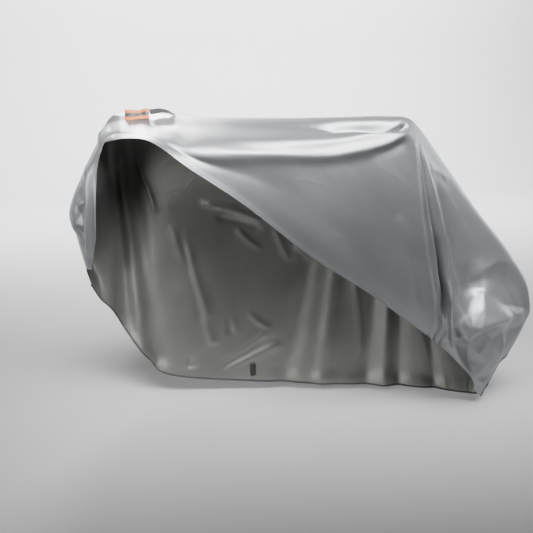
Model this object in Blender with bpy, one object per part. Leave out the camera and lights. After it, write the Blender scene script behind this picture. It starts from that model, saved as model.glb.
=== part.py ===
# Fitted bicycle cover in coated polyester, as it hangs over the thing it covers: pulled down to
# the ground on the far side and at the tail, lifted over the handlebar on the near side.
#
# The cloth is lofted through guide lines that run from its nose to its tail. A guide line is a
# short table of rows (section, along, out, up):
#   section  number of the cross section that the row belongs to, 0 at the nose, 15 at the tail
#   along    metres towards the tail from the point where the top of the cover is held
#   out      metres towards the far side; the near side is negative
#   up       metres above the ground
# Folds are rows of their own, raised or sunk along the cloth's normal.
import math

import bmesh
import bpy
import numpy as np
from mathutils import Vector
from mathutils.bvhtree import BVHTree

# ---- driving dimensions, metres ----
HELD_UP = 1.050           # height of the held point under the top above the ground
CLOTH_THICKNESS = 0.002   # coated cloth, with its turned hems
SEAM_GAP = 0.0003         # clearance between pieces that are sewn together
BINDING_WIDTH = 0.007     # binding tape folded over the lower hem
BINDING_THICKNESS = 0.0034
MITRE_LEAST = 0.7         # cosine past which a corner of the binding isn't widened any more
SHARP_ANGLE = 50.0        # degrees between faces that keep a hard edge in the shading

NEAR_STRIPS = 21          # strips of mesh from the near hem to the ridge seam
FAR_STRIPS = 24           # strips of mesh from the ridge seam to the far hem

# how many columns of mesh lie between one section number and the next
COLUMN_DENSITY = (
    # from section, to section, columns
    (0.0, 2.0, 6),
    (2.0, 5.0, 11),
    (5.0, 6.0, 6),
    (6.0, 8.5, 20),
    (8.5, 10.0, 14),
    (10.0, 12.5, 16),
    (12.5, 15.0, 11),
)

# ---- guide lines, near hem first, each with its place across the cloth ----
RIDGE_PLACE = 0.50
GUIDE_LINES = (
    ("near hem", 0.00, (
        # section, along, out, up
        (0.0, -1.082, 0.130, 0.530),
        (1.0, -1.052, 0.086, 0.640),
        (2.0, -1.040, 0.070, 0.772),
        (3.0, -1.028, 0.070, 0.882),
        (4.0, -1.010, 0.065, 0.951),
        (5.0, -0.980, 0.050, 0.984),
        (5.5, -0.924, 0.000, 0.996),
        (6.0, -0.844, -0.050, 0.989),
        (6.5, -0.738, -0.090, 0.918),
        (7.0, -0.555, -0.120, 0.794),
        (7.5, -0.345, -0.125, 0.623),
        (8.0, -0.150, -0.110, 0.489),
        (8.5, 0.002, -0.095, 0.374),
        (9.0, 0.118, -0.085, 0.285),
        (9.5, 0.175, -0.075, 0.235),
        (10.0, 0.225, -0.065, 0.185),
        (11.0, 0.262, -0.060, 0.149),
        (12.0, 0.286, -0.055, 0.121),
        (13.0, 0.303, -0.050, 0.093),
        (14.0, 0.312, -0.045, 0.061),
        (15.0, 0.340, -0.035, 0.029),
    )),
    ("near tuck", 0.12, (
        (0.0, -1.087, 0.135, 0.530),
        (1.0, -1.070, 0.092, 0.640),
        (2.0, -1.065, 0.081, 0.764),
        (3.0, -1.043, 0.081, 0.882),
        (4.0, -1.017, 0.084, 0.957),
        (5.0, -0.988, 0.078, 0.994),
        (5.5, -0.924, 0.028, 1.003),
        (6.0, -0.838, -0.029, 0.995),
        (6.5, -0.716, -0.080, 0.928),
        (7.0, -0.531, -0.106, 0.846),
        (7.5, -0.342, -0.118, 0.738),
        (8.0, -0.172, -0.122, 0.660),
        (8.5, -0.040, -0.114, 0.590),
        (9.0, 0.078, -0.107, 0.495),
        (9.5, 0.152, -0.102, 0.390),
        (10.0, 0.192, -0.096, 0.300),
        (10.5, 0.226, -0.086, 0.268),
        (11.0, 0.260, -0.078, 0.248),
        (12.0, 0.313, -0.075, 0.263),
        (13.0, 0.352, -0.066, 0.255),
        (14.0, 0.366, -0.050, 0.160),
        (15.0, 0.354, -0.033, 0.056),
    )),
    ("near belly", 0.17, (
        (0.0, -1.089, 0.138, 0.530),
        (1.0, -1.079, 0.096, 0.640),
        (2.0, -1.076, 0.086, 0.760),
        (3.0, -1.050, 0.086, 0.882),
        (4.0, -1.020, 0.092, 0.960),
        (5.0, -0.991, 0.090, 0.998),
        (5.5, -0.924, 0.040, 1.006),
        (6.0, -0.836, -0.020, 0.997),
        (6.5, -0.707, -0.075, 0.932),
        (7.0, -0.521, -0.100, 0.869),
        (7.5, -0.340, -0.115, 0.788),
        (8.0, -0.182, -0.125, 0.738),
        (8.5, -0.058, -0.120, 0.700),
        (9.0, 0.060, -0.115, 0.590),
        (9.5, 0.138, -0.112, 0.480),
        (10.0, 0.168, -0.111, 0.405),
        (10.5, 0.200, -0.119, 0.348),
        (11.0, 0.225, -0.125, 0.300),
        (12.0, 0.288, -0.122, 0.322),
        (13.0, 0.358, -0.103, 0.328),
        (14.0, 0.387, -0.066, 0.222),
        (15.0, 0.369, -0.030, 0.079),
    )),
    ("near swag", 0.32, (
        (0.0, -1.095, 0.148, 0.528),
        (1.0, -1.104, 0.116, 0.640),
        (2.0, -1.112, 0.110, 0.745),
        (3.0, -1.070, 0.116, 0.880),
        (4.0, -1.030, 0.130, 0.966),
        (5.0, -0.995, 0.130, 1.012),
        (5.5, -0.927, 0.080, 1.020),
        (6.0, -0.827, 0.020, 1.010),
        (6.5, -0.674, -0.060, 0.961),
        (7.0, -0.503, -0.085, 0.955),
        (7.5, -0.345, -0.095, 0.951),
        (8.0, -0.218, -0.100, 0.966),
        (8.5, -0.102, -0.095, 0.986),
        (9.0, -0.010, -0.091, 0.950),
        (9.5, 0.067, -0.085, 0.852),
        (10.0, 0.126, -0.074, 0.740),
        (10.5, 0.178, -0.076, 0.600),
        (11.0, 0.229, -0.084, 0.495),
        (12.0, 0.298, -0.090, 0.481),
        (13.0, 0.386, -0.080, 0.411),
        (14.0, 0.426, -0.055, 0.308),
        (15.0, 0.398, -0.020, 0.126),
    )),
    ("near roll", 0.42, (
        (0.0, -1.099, 0.157, 0.527),
        (1.0, -1.122, 0.148, 0.640),
        (2.0, -1.140, 0.150, 0.733),
        (3.0, -1.086, 0.160, 0.874),
        (4.0, -1.038, 0.172, 0.966),
        (5.0, -0.995, 0.200, 1.032),
        (5.5, -0.936, 0.160, 1.043),
        (6.0, -0.823, 0.100, 1.035),
        (6.5, -0.677, 0.030, 1.015),
        (7.0, -0.522, -0.030, 1.004),
        (7.5, -0.365, -0.060, 1.002),
        (8.0, -0.221, -0.070, 1.011),
        (8.5, -0.110, -0.070, 1.029),
        (9.0, -0.030, -0.060, 1.037),
        (9.5, 0.036, -0.055, 0.972),
        (10.0, 0.117, -0.050, 0.855),
        (11.0, 0.225, -0.050, 0.682),
        (12.0, 0.359, -0.045, 0.550),
        (13.0, 0.458, -0.040, 0.409),
        (14.0, 0.461, -0.035, 0.306),
        (15.0, 0.423, -0.010, 0.157),
    )),
    ("ridge", RIDGE_PLACE, (
        (0.0, -1.104, 0.168, 0.525),
        (1.0, -1.130, 0.180, 0.640),
        (2.0, -1.149, 0.190, 0.726),
        (3.0, -1.092, 0.200, 0.865),
        (4.0, -1.039, 0.210, 0.957),
        (4.3, -1.033, 0.215, 0.994),
        (4.6, -1.013, 0.230, 1.017),
        (5.0, -0.988, 0.240, 1.054),
        (5.5, -0.952, 0.235, 1.066),
        (6.0, -0.819, 0.200, 1.065),
        (6.5, -0.682, 0.170, 1.053),
        (7.0, -0.512, 0.130, 1.052),
        (7.5, -0.346, 0.085, 1.053),
        (8.0, -0.203, 0.035, 1.057),
        (8.5, -0.091, 0.005, 1.060),
        (9.0, -0.006, 0.000, 1.054),
        (9.5, 0.040, 0.000, 1.024),
        (10.0, 0.126, 0.000, 0.921),
        (11.0, 0.268, 0.000, 0.745),
        (12.0, 0.418, 0.000, 0.573),
        (12.5, 0.488, 0.000, 0.472),
        (13.0, 0.517, 0.000, 0.382),
        (14.0, 0.501, 0.000, 0.295),
        (14.5, 0.483, 0.005, 0.237),
        (15.0, 0.460, 0.010, 0.175),
    )),
    ("far shoulder", 0.58, (
        (0.0, -1.106, 0.178, 0.515),
        (1.0, -1.122, 0.205, 0.610),
        (2.0, -1.130, 0.225, 0.670),
        (3.0, -1.070, 0.245, 0.800),
        (4.0, -1.010, 0.265, 0.900),
        (5.0, -0.960, 0.285, 0.990),
        (6.0, -0.815, 0.255, 0.990),
        (7.0, -0.515, 0.195, 0.975),
        (8.0, -0.210, 0.115, 0.985),
        (9.0, 0.010, 0.085, 0.985),
        (10.0, 0.130, 0.070, 0.850),
        (11.0, 0.262, 0.070, 0.680),
        (12.0, 0.395, 0.075, 0.520),
        (13.0, 0.470, 0.075, 0.370),
        (14.0, 0.465, 0.060, 0.280),
        (15.0, 0.440, 0.040, 0.160),
    )),
    ("far belly", 0.72, (
        (0.0, -1.104, 0.180, 0.500),
        (1.0, -1.105, 0.210, 0.540),
        (2.0, -1.095, 0.235, 0.575),
        (3.0, -1.045, 0.255, 0.640),
        (4.0, -0.985, 0.265, 0.690),
        (5.0, -0.925, 0.270, 0.720),
        (6.0, -0.800, 0.250, 0.700),
        (7.0, -0.520, 0.225, 0.680),
        (8.0, -0.180, 0.190, 0.690),
        (9.0, 0.045, 0.150, 0.700),
        (10.0, 0.150, 0.125, 0.620),
        (11.0, 0.245, 0.110, 0.510),
        (12.0, 0.345, 0.105, 0.400),
        (13.0, 0.420, 0.095, 0.290),
        (14.0, 0.425, 0.075, 0.220),
        (15.0, 0.420, 0.045, 0.120),
    )),
    ("far low", 0.86, (
        (0.0, -1.099, 0.176, 0.483),
        (1.0, -1.085, 0.198, 0.475),
        (2.0, -1.062, 0.215, 0.470),
        (3.0, -1.022, 0.230, 0.480),
        (4.0, -0.970, 0.232, 0.450),
        (5.0, -0.912, 0.232, 0.425),
        (6.0, -0.810, 0.225, 0.380),
        (7.0, -0.535, 0.215, 0.355),
        (8.0, -0.145, 0.180, 0.350),
        (9.0, 0.065, 0.140, 0.345),
        (10.0, 0.175, 0.110, 0.300),
        (11.0, 0.250, 0.095, 0.250),
        (12.0, 0.320, 0.080, 0.200),
        (13.0, 0.370, 0.065, 0.150),
        (14.0, 0.385, 0.050, 0.115),
        (15.0, 0.395, 0.035, 0.070),
    )),
    ("far hem", 1.00, (
        (0.0, -1.093, 0.170, 0.466),
        (1.0, -1.066, 0.180, 0.412),
        (2.0, -1.034, 0.190, 0.372),
        (3.0, -1.002, 0.200, 0.324),
        (4.0, -0.952, 0.200, 0.224),
        (5.0, -0.899, 0.200, 0.151),
        (6.0, -0.826, 0.200, 0.086),
        (7.0, -0.553, 0.190, 0.050),
        (7.5, -0.316, 0.170, 0.035),
        (8.0, -0.117, 0.140, 0.030),
        (9.0, 0.080, 0.110, 0.025),
        (10.0, 0.198, 0.085, 0.020),
        (11.0, 0.257, 0.065, 0.018),
        (12.0, 0.294, 0.050, 0.016),
        (13.0, 0.323, 0.040, 0.015),
        (14.0, 0.348, 0.030, 0.014),
        (15.0, 0.372, 0.015, 0.020),
    )),
)

# ---- folds, seen from the side ----
# name, start along and up, end along and up, sideways bow at the middle, half width at the start
# and at the end, height above the cloth at the start and at the end (negative for a trough),
# sharpness of the crest (2 is soft, 1.2 is a crease)
NEAR_FOLDS = (
    # fan below the back corner of the top
    ("first fan fold", 0.006, 1.000, 0.142, 0.330, 0.000, 0.008, 0.018, 0.006, 0.020, 1.4),
    ("fan trough", 0.012, 0.990, 0.168, 0.330, 0.000, 0.008, 0.019, -0.005, -0.013, 1.9),
    ("second fan fold", 0.018, 0.995, 0.214, 0.340, 0.026, 0.009, 0.034, 0.006, 0.020, 1.7),
    ("hollow behind the fan", 0.105, 0.880, 0.275, 0.545, 0.010, 0.018, 0.048, -0.010, -0.028, 2.0),
    ("front fan fold", -0.030, 0.640, 0.060, 0.350, 0.000, 0.018, 0.022, 0.004, 0.008, 2.0),
    # swag between the bar and the back corner of the top
    ("swag trough", -0.700, 0.958, -0.040, 1.004, -0.040, 0.018, 0.012, -0.016, -0.010, 1.8),
    ("swag roll", -0.640, 1.000, -0.070, 1.026, -0.018, 0.022, 0.012, 0.012, 0.008, 2.0),
    ("roof trough", -0.560, 1.036, -0.090, 1.042, -0.004, 0.010, 0.008, -0.006, -0.006, 2.0),
    # pillow at the tail with the tuck under it
    ("pillow top edge", 0.232, 0.462, 0.310, 0.478, 0.006, 0.014, 0.014, 0.008, 0.012, 1.4),
    ("pillow back edge", 0.308, 0.478, 0.370, 0.345, 0.010, 0.014, 0.010, 0.012, 0.014, 1.3),
    ("pillow back tuck", 0.345, 0.480, 0.396, 0.372, 0.008, 0.014, 0.010, -0.012, -0.012, 1.6),
    ("pillow lower edge", 0.225, 0.286, 0.372, 0.345, 0.000, 0.015, 0.014, 0.010, 0.012, 1.4),
    ("tuck under the pillow", 0.240, 0.232, 0.400, 0.300, 0.008, 0.016, 0.014, -0.012, -0.014, 1.8),
    ("tail peak", 0.380, 0.352, 0.450, 0.372, 0.000, 0.016, 0.014, 0.009, 0.010, 1.5),
    ("tail tuck", 0.395, 0.310, 0.450, 0.325, 0.000, 0.018, 0.016, -0.007, -0.006, 2.0),
    ("tail streak", 0.378, 0.305, 0.290, 0.212, 0.000, 0.012, 0.014, 0.007, 0.009, 1.5),
    # nose
    ("nose band", -1.050, 0.900, -1.074, 0.600, 0.000, 0.012, 0.016, 0.008, 0.010, 1.8),
    ("nose trough", -1.076, 0.870, -1.090, 0.680, 0.000, 0.010, 0.014, -0.012, -0.012, 1.8),
    ("nose front fold", -1.095, 0.850, -1.120, 0.700, 0.000, 0.012, 0.018, 0.006, 0.010, 1.6),
)
FAR_FOLDS = (
    ("long front fold", -0.820, 0.700, -0.708, 0.100, 0.010, 0.022, 0.030, -0.006, -0.012, 2.0),
    ("upper low fold", -0.650, 0.085, -0.420, 0.250, 0.000, 0.014, 0.024, -0.014, -0.010, 1.6),
    ("low fold", -0.640, 0.070, -0.300, 0.225, 0.008, 0.012, 0.026, -0.018, -0.014, 1.5),
    ("low trough", -0.645, 0.080, -0.380, 0.245, 0.000, 0.010, 0.016, 0.014, 0.010, 1.8),
    ("upper crease", -0.690, 0.800, -0.450, 0.660, 0.010, 0.014, 0.020, 0.008, 0.010, 1.6),
    ("peaked crease", -0.417, 0.660, -0.330, 0.500, 0.000, 0.012, 0.016, 0.010, 0.008, 1.5),
    ("nose drape", -1.010, 0.950, -0.985, 0.260, 0.012, 0.020, 0.035, 0.010, 0.018, 2.0),
    ("front drape", -0.930, 0.980, -0.870, 0.160, -0.010, 0.022, 0.035, 0.004, 0.014, 2.0),
    ("front hollow", -0.970, 0.900, -0.925, 0.200, 0.000, 0.016, 0.026, -0.010, -0.016, 2.0),
    ("middle drape", -0.250, 0.850, -0.380, 0.060, 0.020, 0.025, 0.045, 0.006, 0.016, 2.0),
    ("middle hollow", -0.160, 0.830, -0.230, 0.050, 0.010, 0.020, 0.035, -0.006, -0.014, 2.0),
    ("first fan fold", -0.020, 0.970, -0.060, 0.060, 0.015, 0.010, 0.040, 0.004, 0.016, 1.8),
    ("second fan fold", 0.015, 0.970, 0.070, 0.060, 0.020, 0.008, 0.035, 0.004, 0.020, 1.7),
    ("fan hollow", 0.000, 0.960, 0.010, 0.060, 0.015, 0.008, 0.026, -0.004, -0.016, 1.8),
    ("third fan fold", 0.040, 0.960, 0.200, 0.060, 0.030, 0.008, 0.030, 0.004, 0.018, 1.7),
    ("tail hollow", 0.090, 0.890, 0.260, 0.330, 0.000, 0.020, 0.050, -0.012, -0.022, 2.0),
    ("tail bulge", 0.300, 0.450, 0.400, 0.330, 0.000, 0.030, 0.030, 0.012, 0.014, 1.8),
    ("tail tuck", 0.290, 0.250, 0.420, 0.280, 0.000, 0.020, 0.016, -0.014, -0.012, 1.8),
)
FOLD_FADE = 0.06          # share of the cloth's width over which folds die out at the ridge
FOLD_END = 0.12           # share of a fold's length over which its ends die out

# ---- strap sewn on the top seam, with the reflective band that it ends in ----
# rows of a ribbon's middle line: share of its length, along, out, up, lean in degrees (0 lies
# level, 90 stands on its edge)
STRAP_WIDTH = 0.020
STRAP_THICKNESS = 0.0020
STRAP_LINE = (
    (0.00, -0.766, 0.1650, 1.0528, 5.0),
    (0.28, -0.788, 0.1620, 1.0645, 26.0),
    (0.60, -0.818, 0.1570, 1.0690, 46.0),
    (0.85, -0.841, 0.1500, 1.0656, 60.0),
    (1.00, -0.8509, 0.1495, 1.0650, 62.0),
)
BAND_WIDTH = 0.036
BAND_THICKNESS = 0.0014
BAND_LINE = (
    (0.00, -0.8520, 0.1495, 1.0650, 62.0),
    (0.20, -0.8830, 0.1560, 1.0630, 62.0),
    (0.36, -0.9130, 0.1640, 1.0620, 62.0),
    (0.46, -0.9345, 0.1695, 1.0605, 62.0),
    (0.50, -0.9390, 0.1735, 1.0590, 62.0),
    (0.54, -0.9345, 0.1765, 1.0570, 62.0),
    (0.64, -0.9130, 0.1705, 1.0590, 62.0),
    (0.80, -0.8830, 0.1625, 1.0600, 62.0),
    (1.00, -0.8520, 0.1560, 1.0620, 62.0),
)
RIBBON_STEPS = 28

# ---- webbing tab with its buckle, on the inner face of the far hem ----
TAB_PLACE = (-0.502, 0.094)      # along and up of the webbing's middle
TAB_WIDTH = 0.022
TAB_LENGTH = 0.030
TAB_THICKNESS = 0.0018
BUCKLE_PLACE = (-0.502, 0.066)   # along and up of the buckle's middle
BUCKLE_WIDTH = 0.025
BUCKLE_LENGTH = 0.026
BUCKLE_THICKNESS = 0.006
BOX_BEVEL_SHARE = 0.25           # bevel of a fitting's edges as a share of its thickness
FITTING_OUT = 0.10               # out where a hem fitting starts before it is seated on the cloth
SEAT_GAP = 0.0004                # clearance of a fitting over the cloth that carries it
SEAT_REACH = 0.20                # how far behind a piece the rays that seat it start

# ---- colours ----
CLOTH_GREY = (0.31, 0.32, 0.34)
BINDING_GREY = (0.06, 0.06, 0.065)
WEBBING_BLACK = (0.02, 0.02, 0.022)
BUCKLE_BLACK = (0.015, 0.015, 0.016)
ORANGE = (0.80, 0.25, 0.07)


def clear_scene():
    for old in list(bpy.data.objects):
        bpy.data.objects.remove(old, do_unlink=True)


def material(name, colour, roughness, metallic=0.0):
    made = bpy.data.materials.new(name)
    made.use_nodes = True
    shader = made.node_tree.nodes["Principled BSDF"]
    shader.inputs["Base Color"].default_value = (*colour, 1.0)
    shader.inputs["Roughness"].default_value = roughness
    shader.inputs["Metallic"].default_value = metallic
    return made


def smooth_through(knots, values, places):
    """Points of a smooth curve through values at the knots, read at the given places."""
    knots = np.asarray(knots, float)
    values = np.asarray(values, float)
    spans = np.diff(knots)
    slopes = np.diff(values, axis=0) / spans[:, None]
    tangents = np.empty_like(values)
    tangents[0] = slopes[0]
    tangents[-1] = slopes[-1]
    before = spans[:-1, None]
    after = spans[1:, None]
    tangents[1:-1] = (slopes[:-1] * after + slopes[1:] * before) / (before + after)
    cell = np.clip(np.searchsorted(knots, places, side="right") - 1, 0, len(spans) - 1)
    step = spans[cell][:, None]
    part = ((places - knots[cell]) / spans[cell])[:, None]
    return (
        values[cell] * (2 * part**3 - 3 * part**2 + 1)
        + tangents[cell] * step * (part**3 - 2 * part**2 + part)
        + values[cell + 1] * (3 * part**2 - 2 * part**3)
        + tangents[cell + 1] * step * (part**3 - part**2)
    )


def smooth_step(value):
    value = np.clip(value, 0.0, 1.0)
    return value * value * (3.0 - 2.0 * value)


def guide_points(rows, sections):
    rows = np.array(rows)
    points = smooth_through(rows[:, 0], rows[:, 1:], sections)
    points[:, 2] -= HELD_UP
    return points


def plain_surface(sections, crossings):
    """Grid of points over the cloth without folds: one row a section, one column a crossing."""
    places = [place for _, place, _ in GUIDE_LINES]
    guides = np.array([guide_points(rows, sections) for _, _, rows in GUIDE_LINES])
    grid = np.empty((len(sections), len(crossings), 3))
    for row in range(len(sections)):
        grid[row] = smooth_through(places, guides[:, row], crossings)
    return grid


def surface_normals(grid):
    along = np.gradient(grid, axis=0)
    across = np.gradient(grid, axis=1)
    normals = np.cross(along, across)
    return normals / np.linalg.norm(normals, axis=2, keepdims=True)


def fold_heights(folds, grid):
    along = grid[..., 0]
    up = grid[..., 2] + HELD_UP
    heights = np.zeros(along.shape)
    for fold in folds:
        _, x_0, up_0, x_1, up_1, bow, width_0, width_1, height_0, height_1, sharpness = fold
        length = math.hypot(x_1 - x_0, up_1 - up_0)
        run = (x_1 - x_0) / length
        climb = (up_1 - up_0) / length
        share = ((along - x_0) * run + (up - up_0) * climb) / length
        inside = np.clip(share, 0.0, 1.0)
        aside = (along - x_0) * -climb + (up - up_0) * run
        aside = aside - bow * 4.0 * inside * (1.0 - inside)
        width = width_0 + (width_1 - width_0) * inside
        crest = np.exp(-((np.abs(aside) / width) ** sharpness))
        ends = smooth_step((share + FOLD_END) / FOLD_END)
        ends = ends * smooth_step((1.0 + FOLD_END - share) / FOLD_END)
        heights += (height_0 + (height_1 - height_0) * inside) * crest * ends
    return heights


def column_sections():
    """Section numbers of the mesh's columns."""
    sections = [COLUMN_DENSITY[0][0]]
    for start, end, count in COLUMN_DENSITY:
        sections.extend(np.linspace(start, end, count + 1)[1:])
    return np.array(sections)


def strip_crossings():
    """Places across the cloth of the mesh's strips, near hem first, the ridge among them."""
    near = np.linspace(0.0, RIDGE_PLACE, NEAR_STRIPS + 1)
    far = np.linspace(RIDGE_PLACE, 1.0, FAR_STRIPS + 1)[1:]
    return np.concatenate([near, far])


def folded_cloth():
    """Outer face of the whole cloth, with its normals."""
    crossings = strip_crossings()
    grid = plain_surface(column_sections(), crossings)
    normals = surface_normals(grid)
    heights = np.zeros(grid.shape[:2])
    near = crossings < RIDGE_PLACE
    far = crossings > RIDGE_PLACE
    heights[:, near] = fold_heights(NEAR_FOLDS, grid[:, near])
    heights[:, far] = fold_heights(FAR_FOLDS, grid[:, far])
    heights *= smooth_step(np.abs(crossings - RIDGE_PLACE) / FOLD_FADE)
    grid = grid + normals * heights[..., None]
    return grid, surface_normals(grid)


def link_object(name, mesh, surface):
    made = bpy.data.objects.new(name, mesh)
    bpy.context.scene.collection.objects.link(made)
    mesh.materials.append(surface)
    mesh.shade_smooth()
    mesh.set_sharp_from_angle(angle=math.radians(SHARP_ANGLE))
    return made


def layered_sheet(name, outer, inner, surface):
    """Closed solid between two grids of points of the same shape."""
    work = bmesh.new()
    rows, columns = outer.shape[:2]
    layers = []
    for grid in (outer, inner):
        layers.append([[work.verts.new(point) for point in line] for line in grid])
    top, bottom = layers
    for i in range(rows - 1):
        for j in range(columns - 1):
            work.faces.new((top[i][j], top[i][j + 1], top[i + 1][j + 1], top[i + 1][j]))
            work.faces.new((bottom[i][j], bottom[i + 1][j], bottom[i + 1][j + 1], bottom[i][j + 1]))
    rim = [(i, 0) for i in range(rows)]
    rim += [(rows - 1, j) for j in range(1, columns)]
    rim += [(i, columns - 1) for i in range(rows - 2, -1, -1)]
    rim += [(0, j) for j in range(columns - 2, 0, -1)]
    for (i, j), (k, m) in zip(rim, rim[1:] + rim[:1]):
        work.faces.new((top[i][j], top[k][m], bottom[k][m], bottom[i][j]))
    bmesh.ops.recalc_face_normals(work, faces=work.faces[:])
    mesh = bpy.data.meshes.new(name)
    work.to_mesh(mesh)
    work.free()
    return link_object(name, mesh, surface)


def box_mesh(name, size, surface):
    """Block with small bevels, centred on the origin, its thin way along Y."""
    work = bmesh.new()
    bmesh.ops.create_cube(work, size=1.0)
    bmesh.ops.scale(work, vec=size, verts=work.verts[:])
    edge = min(size) * BOX_BEVEL_SHARE
    bmesh.ops.bevel(work, geom=work.edges[:], offset=edge, segments=2, affect="EDGES")
    mesh = bpy.data.meshes.new(name)
    work.to_mesh(mesh)
    work.free()
    return link_object(name, mesh, surface)


def tape_solid(name, corners, surface):
    """Closed solid swept through rows of four corner points."""
    work = bmesh.new()
    rings = [[work.verts.new(point) for point in ring] for ring in corners]
    for ring, after in zip(rings, rings[1:]):
        for k in range(4):
            m = (k + 1) % 4
            work.faces.new((ring[k], ring[m], after[m], after[k]))
    work.faces.new(rings[0][::-1])
    work.faces.new(rings[-1])
    bmesh.ops.recalc_face_normals(work, faces=work.faces[:])
    mesh = bpy.data.meshes.new(name)
    work.to_mesh(mesh)
    work.free()
    return link_object(name, mesh, surface)


def unit_rows(vectors):
    return vectors / np.linalg.norm(vectors, axis=1, keepdims=True)


def hem_binding(grid, inner, normals, surface):
    """Binding tape along the far hem and on round the tail hem, edge to edge with the cloth."""
    middle = (grid + inner) / 2.0
    line = np.concatenate([middle[:, -1], middle[-1, -2::-1]])
    facing = np.concatenate([normals[:, -1], normals[-1, -2::-1]])
    steps = unit_rows(np.diff(line, axis=0))
    ahead = unit_rows(np.concatenate([steps[:1], steps[:-1] + steps[1:], steps[-1:]]))
    straight = np.concatenate([steps[:1], steps])
    mitre = 1.0 / np.clip(np.sum(ahead * straight, axis=1), MITRE_LEAST, 1.0)
    off_cloth = unit_rows(np.cross(facing, ahead)) * mitre[:, None]
    half = facing * BINDING_THICKNESS / 2.0
    near_edge = line + off_cloth * SEAM_GAP
    far_edge = line + off_cloth * (SEAM_GAP + BINDING_WIDTH)
    corners = np.stack([near_edge + half, far_edge + half, far_edge - half, near_edge - half], 1)
    return tape_solid("hem_binding", corners, surface)


def ribbon(name, rows, width, thickness, surface):
    """Flat tape along a smooth middle line, turned about it by each row's lean."""
    rows = np.array(rows)
    places = np.linspace(0.0, 1.0, RIBBON_STEPS + 1)
    places = np.union1d(places, rows[:, 0])
    read = smooth_through(rows[:, 0], rows[:, 1:], places)
    line = read[:, :3] - np.array([0.0, 0.0, HELD_UP])
    ahead = unit_rows(np.gradient(line, axis=0))
    lean = np.radians(read[:, 3:4])
    wide = np.hstack([np.zeros_like(lean), np.cos(lean), np.sin(lean)])
    wide = unit_rows(wide - ahead * np.sum(wide * ahead, axis=1, keepdims=True))
    thick = np.cross(ahead, wide)
    half_wide = wide * width / 2.0
    half_thick = thick * thickness / 2.0
    corners = np.stack(
        [
            line - half_wide - half_thick,
            line + half_wide - half_thick,
            line + half_wide + half_thick,
            line - half_wide + half_thick,
        ],
        1,
    )
    return tape_solid(name, corners, surface)


def seat(pieces, cloth_tree, towards):
    """Move pieces together along a direction until the nearest one is SEAT_GAP off the cloth."""
    towards = Vector(towards)
    back = -towards * SEAT_REACH
    room = math.inf
    for piece in pieces:
        for vertex in piece.data.vertices:
            start = piece.matrix_world @ vertex.co
            hit, _, _, distance = cloth_tree.ray_cast(start + back, towards)
            if hit is not None:
                room = min(room, distance - SEAT_REACH)
    for piece in pieces:
        piece.location += towards * (room - SEAT_GAP)


def cloth_tree_of(panels):
    work = bmesh.new()
    for panel in panels:
        work.from_mesh(panel.data)
    tree = BVHTree.FromBMesh(work)
    work.free()
    return tree


def hem_fitting(name, place, size, surface, cloth_tree):
    """Flat fitting on the inner face of the far panel."""
    made = box_mesh(name, size, surface)
    made.location = (place[0], FITTING_OUT, place[1] - HELD_UP)
    bpy.context.view_layer.update()
    seat([made], cloth_tree, (0.0, 1.0, 0.0))
    return made


def main():
    clear_scene()
    cloth = material("cloth", CLOTH_GREY, 0.55)
    binding = material("binding", BINDING_GREY, 0.75)
    webbing = material("webbing", WEBBING_BLACK, 0.80)
    plastic = material("buckle_plastic", BUCKLE_BLACK, 0.40)
    reflective = material("reflective_band", ORANGE, 0.50)

    grid, normals = folded_cloth()
    inner = grid - normals * CLOTH_THICKNESS
    seam = NEAR_STRIPS
    step_off = unit_rows(grid[:, seam + 1] - grid[:, seam - 1]) * SEAM_GAP / 2.0
    near_layers = []
    far_layers = []
    for layer in (grid, inner):
        near = layer[:, : seam + 1].copy()
        near[:, -1] -= step_off
        near_layers.append(near)
        far = layer[:, seam:].copy()
        far[:, 0] += step_off
        far_layers.append(far)
    near_panel = layered_sheet("near_panel", *near_layers, cloth)
    far_panel = layered_sheet("far_panel", *far_layers, cloth)
    hem_binding(grid, inner, normals, binding)

    tree = cloth_tree_of((near_panel, far_panel))
    strap = ribbon("top_strap", STRAP_LINE, STRAP_WIDTH, STRAP_THICKNESS, webbing)
    band = ribbon("reflective_band", BAND_LINE, BAND_WIDTH, BAND_THICKNESS, reflective)
    seat([strap, band], tree, (0.0, 0.0, -1.0))
    tab_size = (TAB_WIDTH, TAB_THICKNESS, TAB_LENGTH)
    hem_fitting("hem_tab", TAB_PLACE, tab_size, webbing, tree)
    buckle_size = (BUCKLE_WIDTH, BUCKLE_THICKNESS, BUCKLE_LENGTH)
    hem_fitting("hem_buckle", BUCKLE_PLACE, buckle_size, plastic, tree)


main()
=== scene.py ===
import math

import bmesh
import bpy
import numpy as np
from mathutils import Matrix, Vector, noise
from mathutils.geometry import delaunay_2d_cdt


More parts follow.
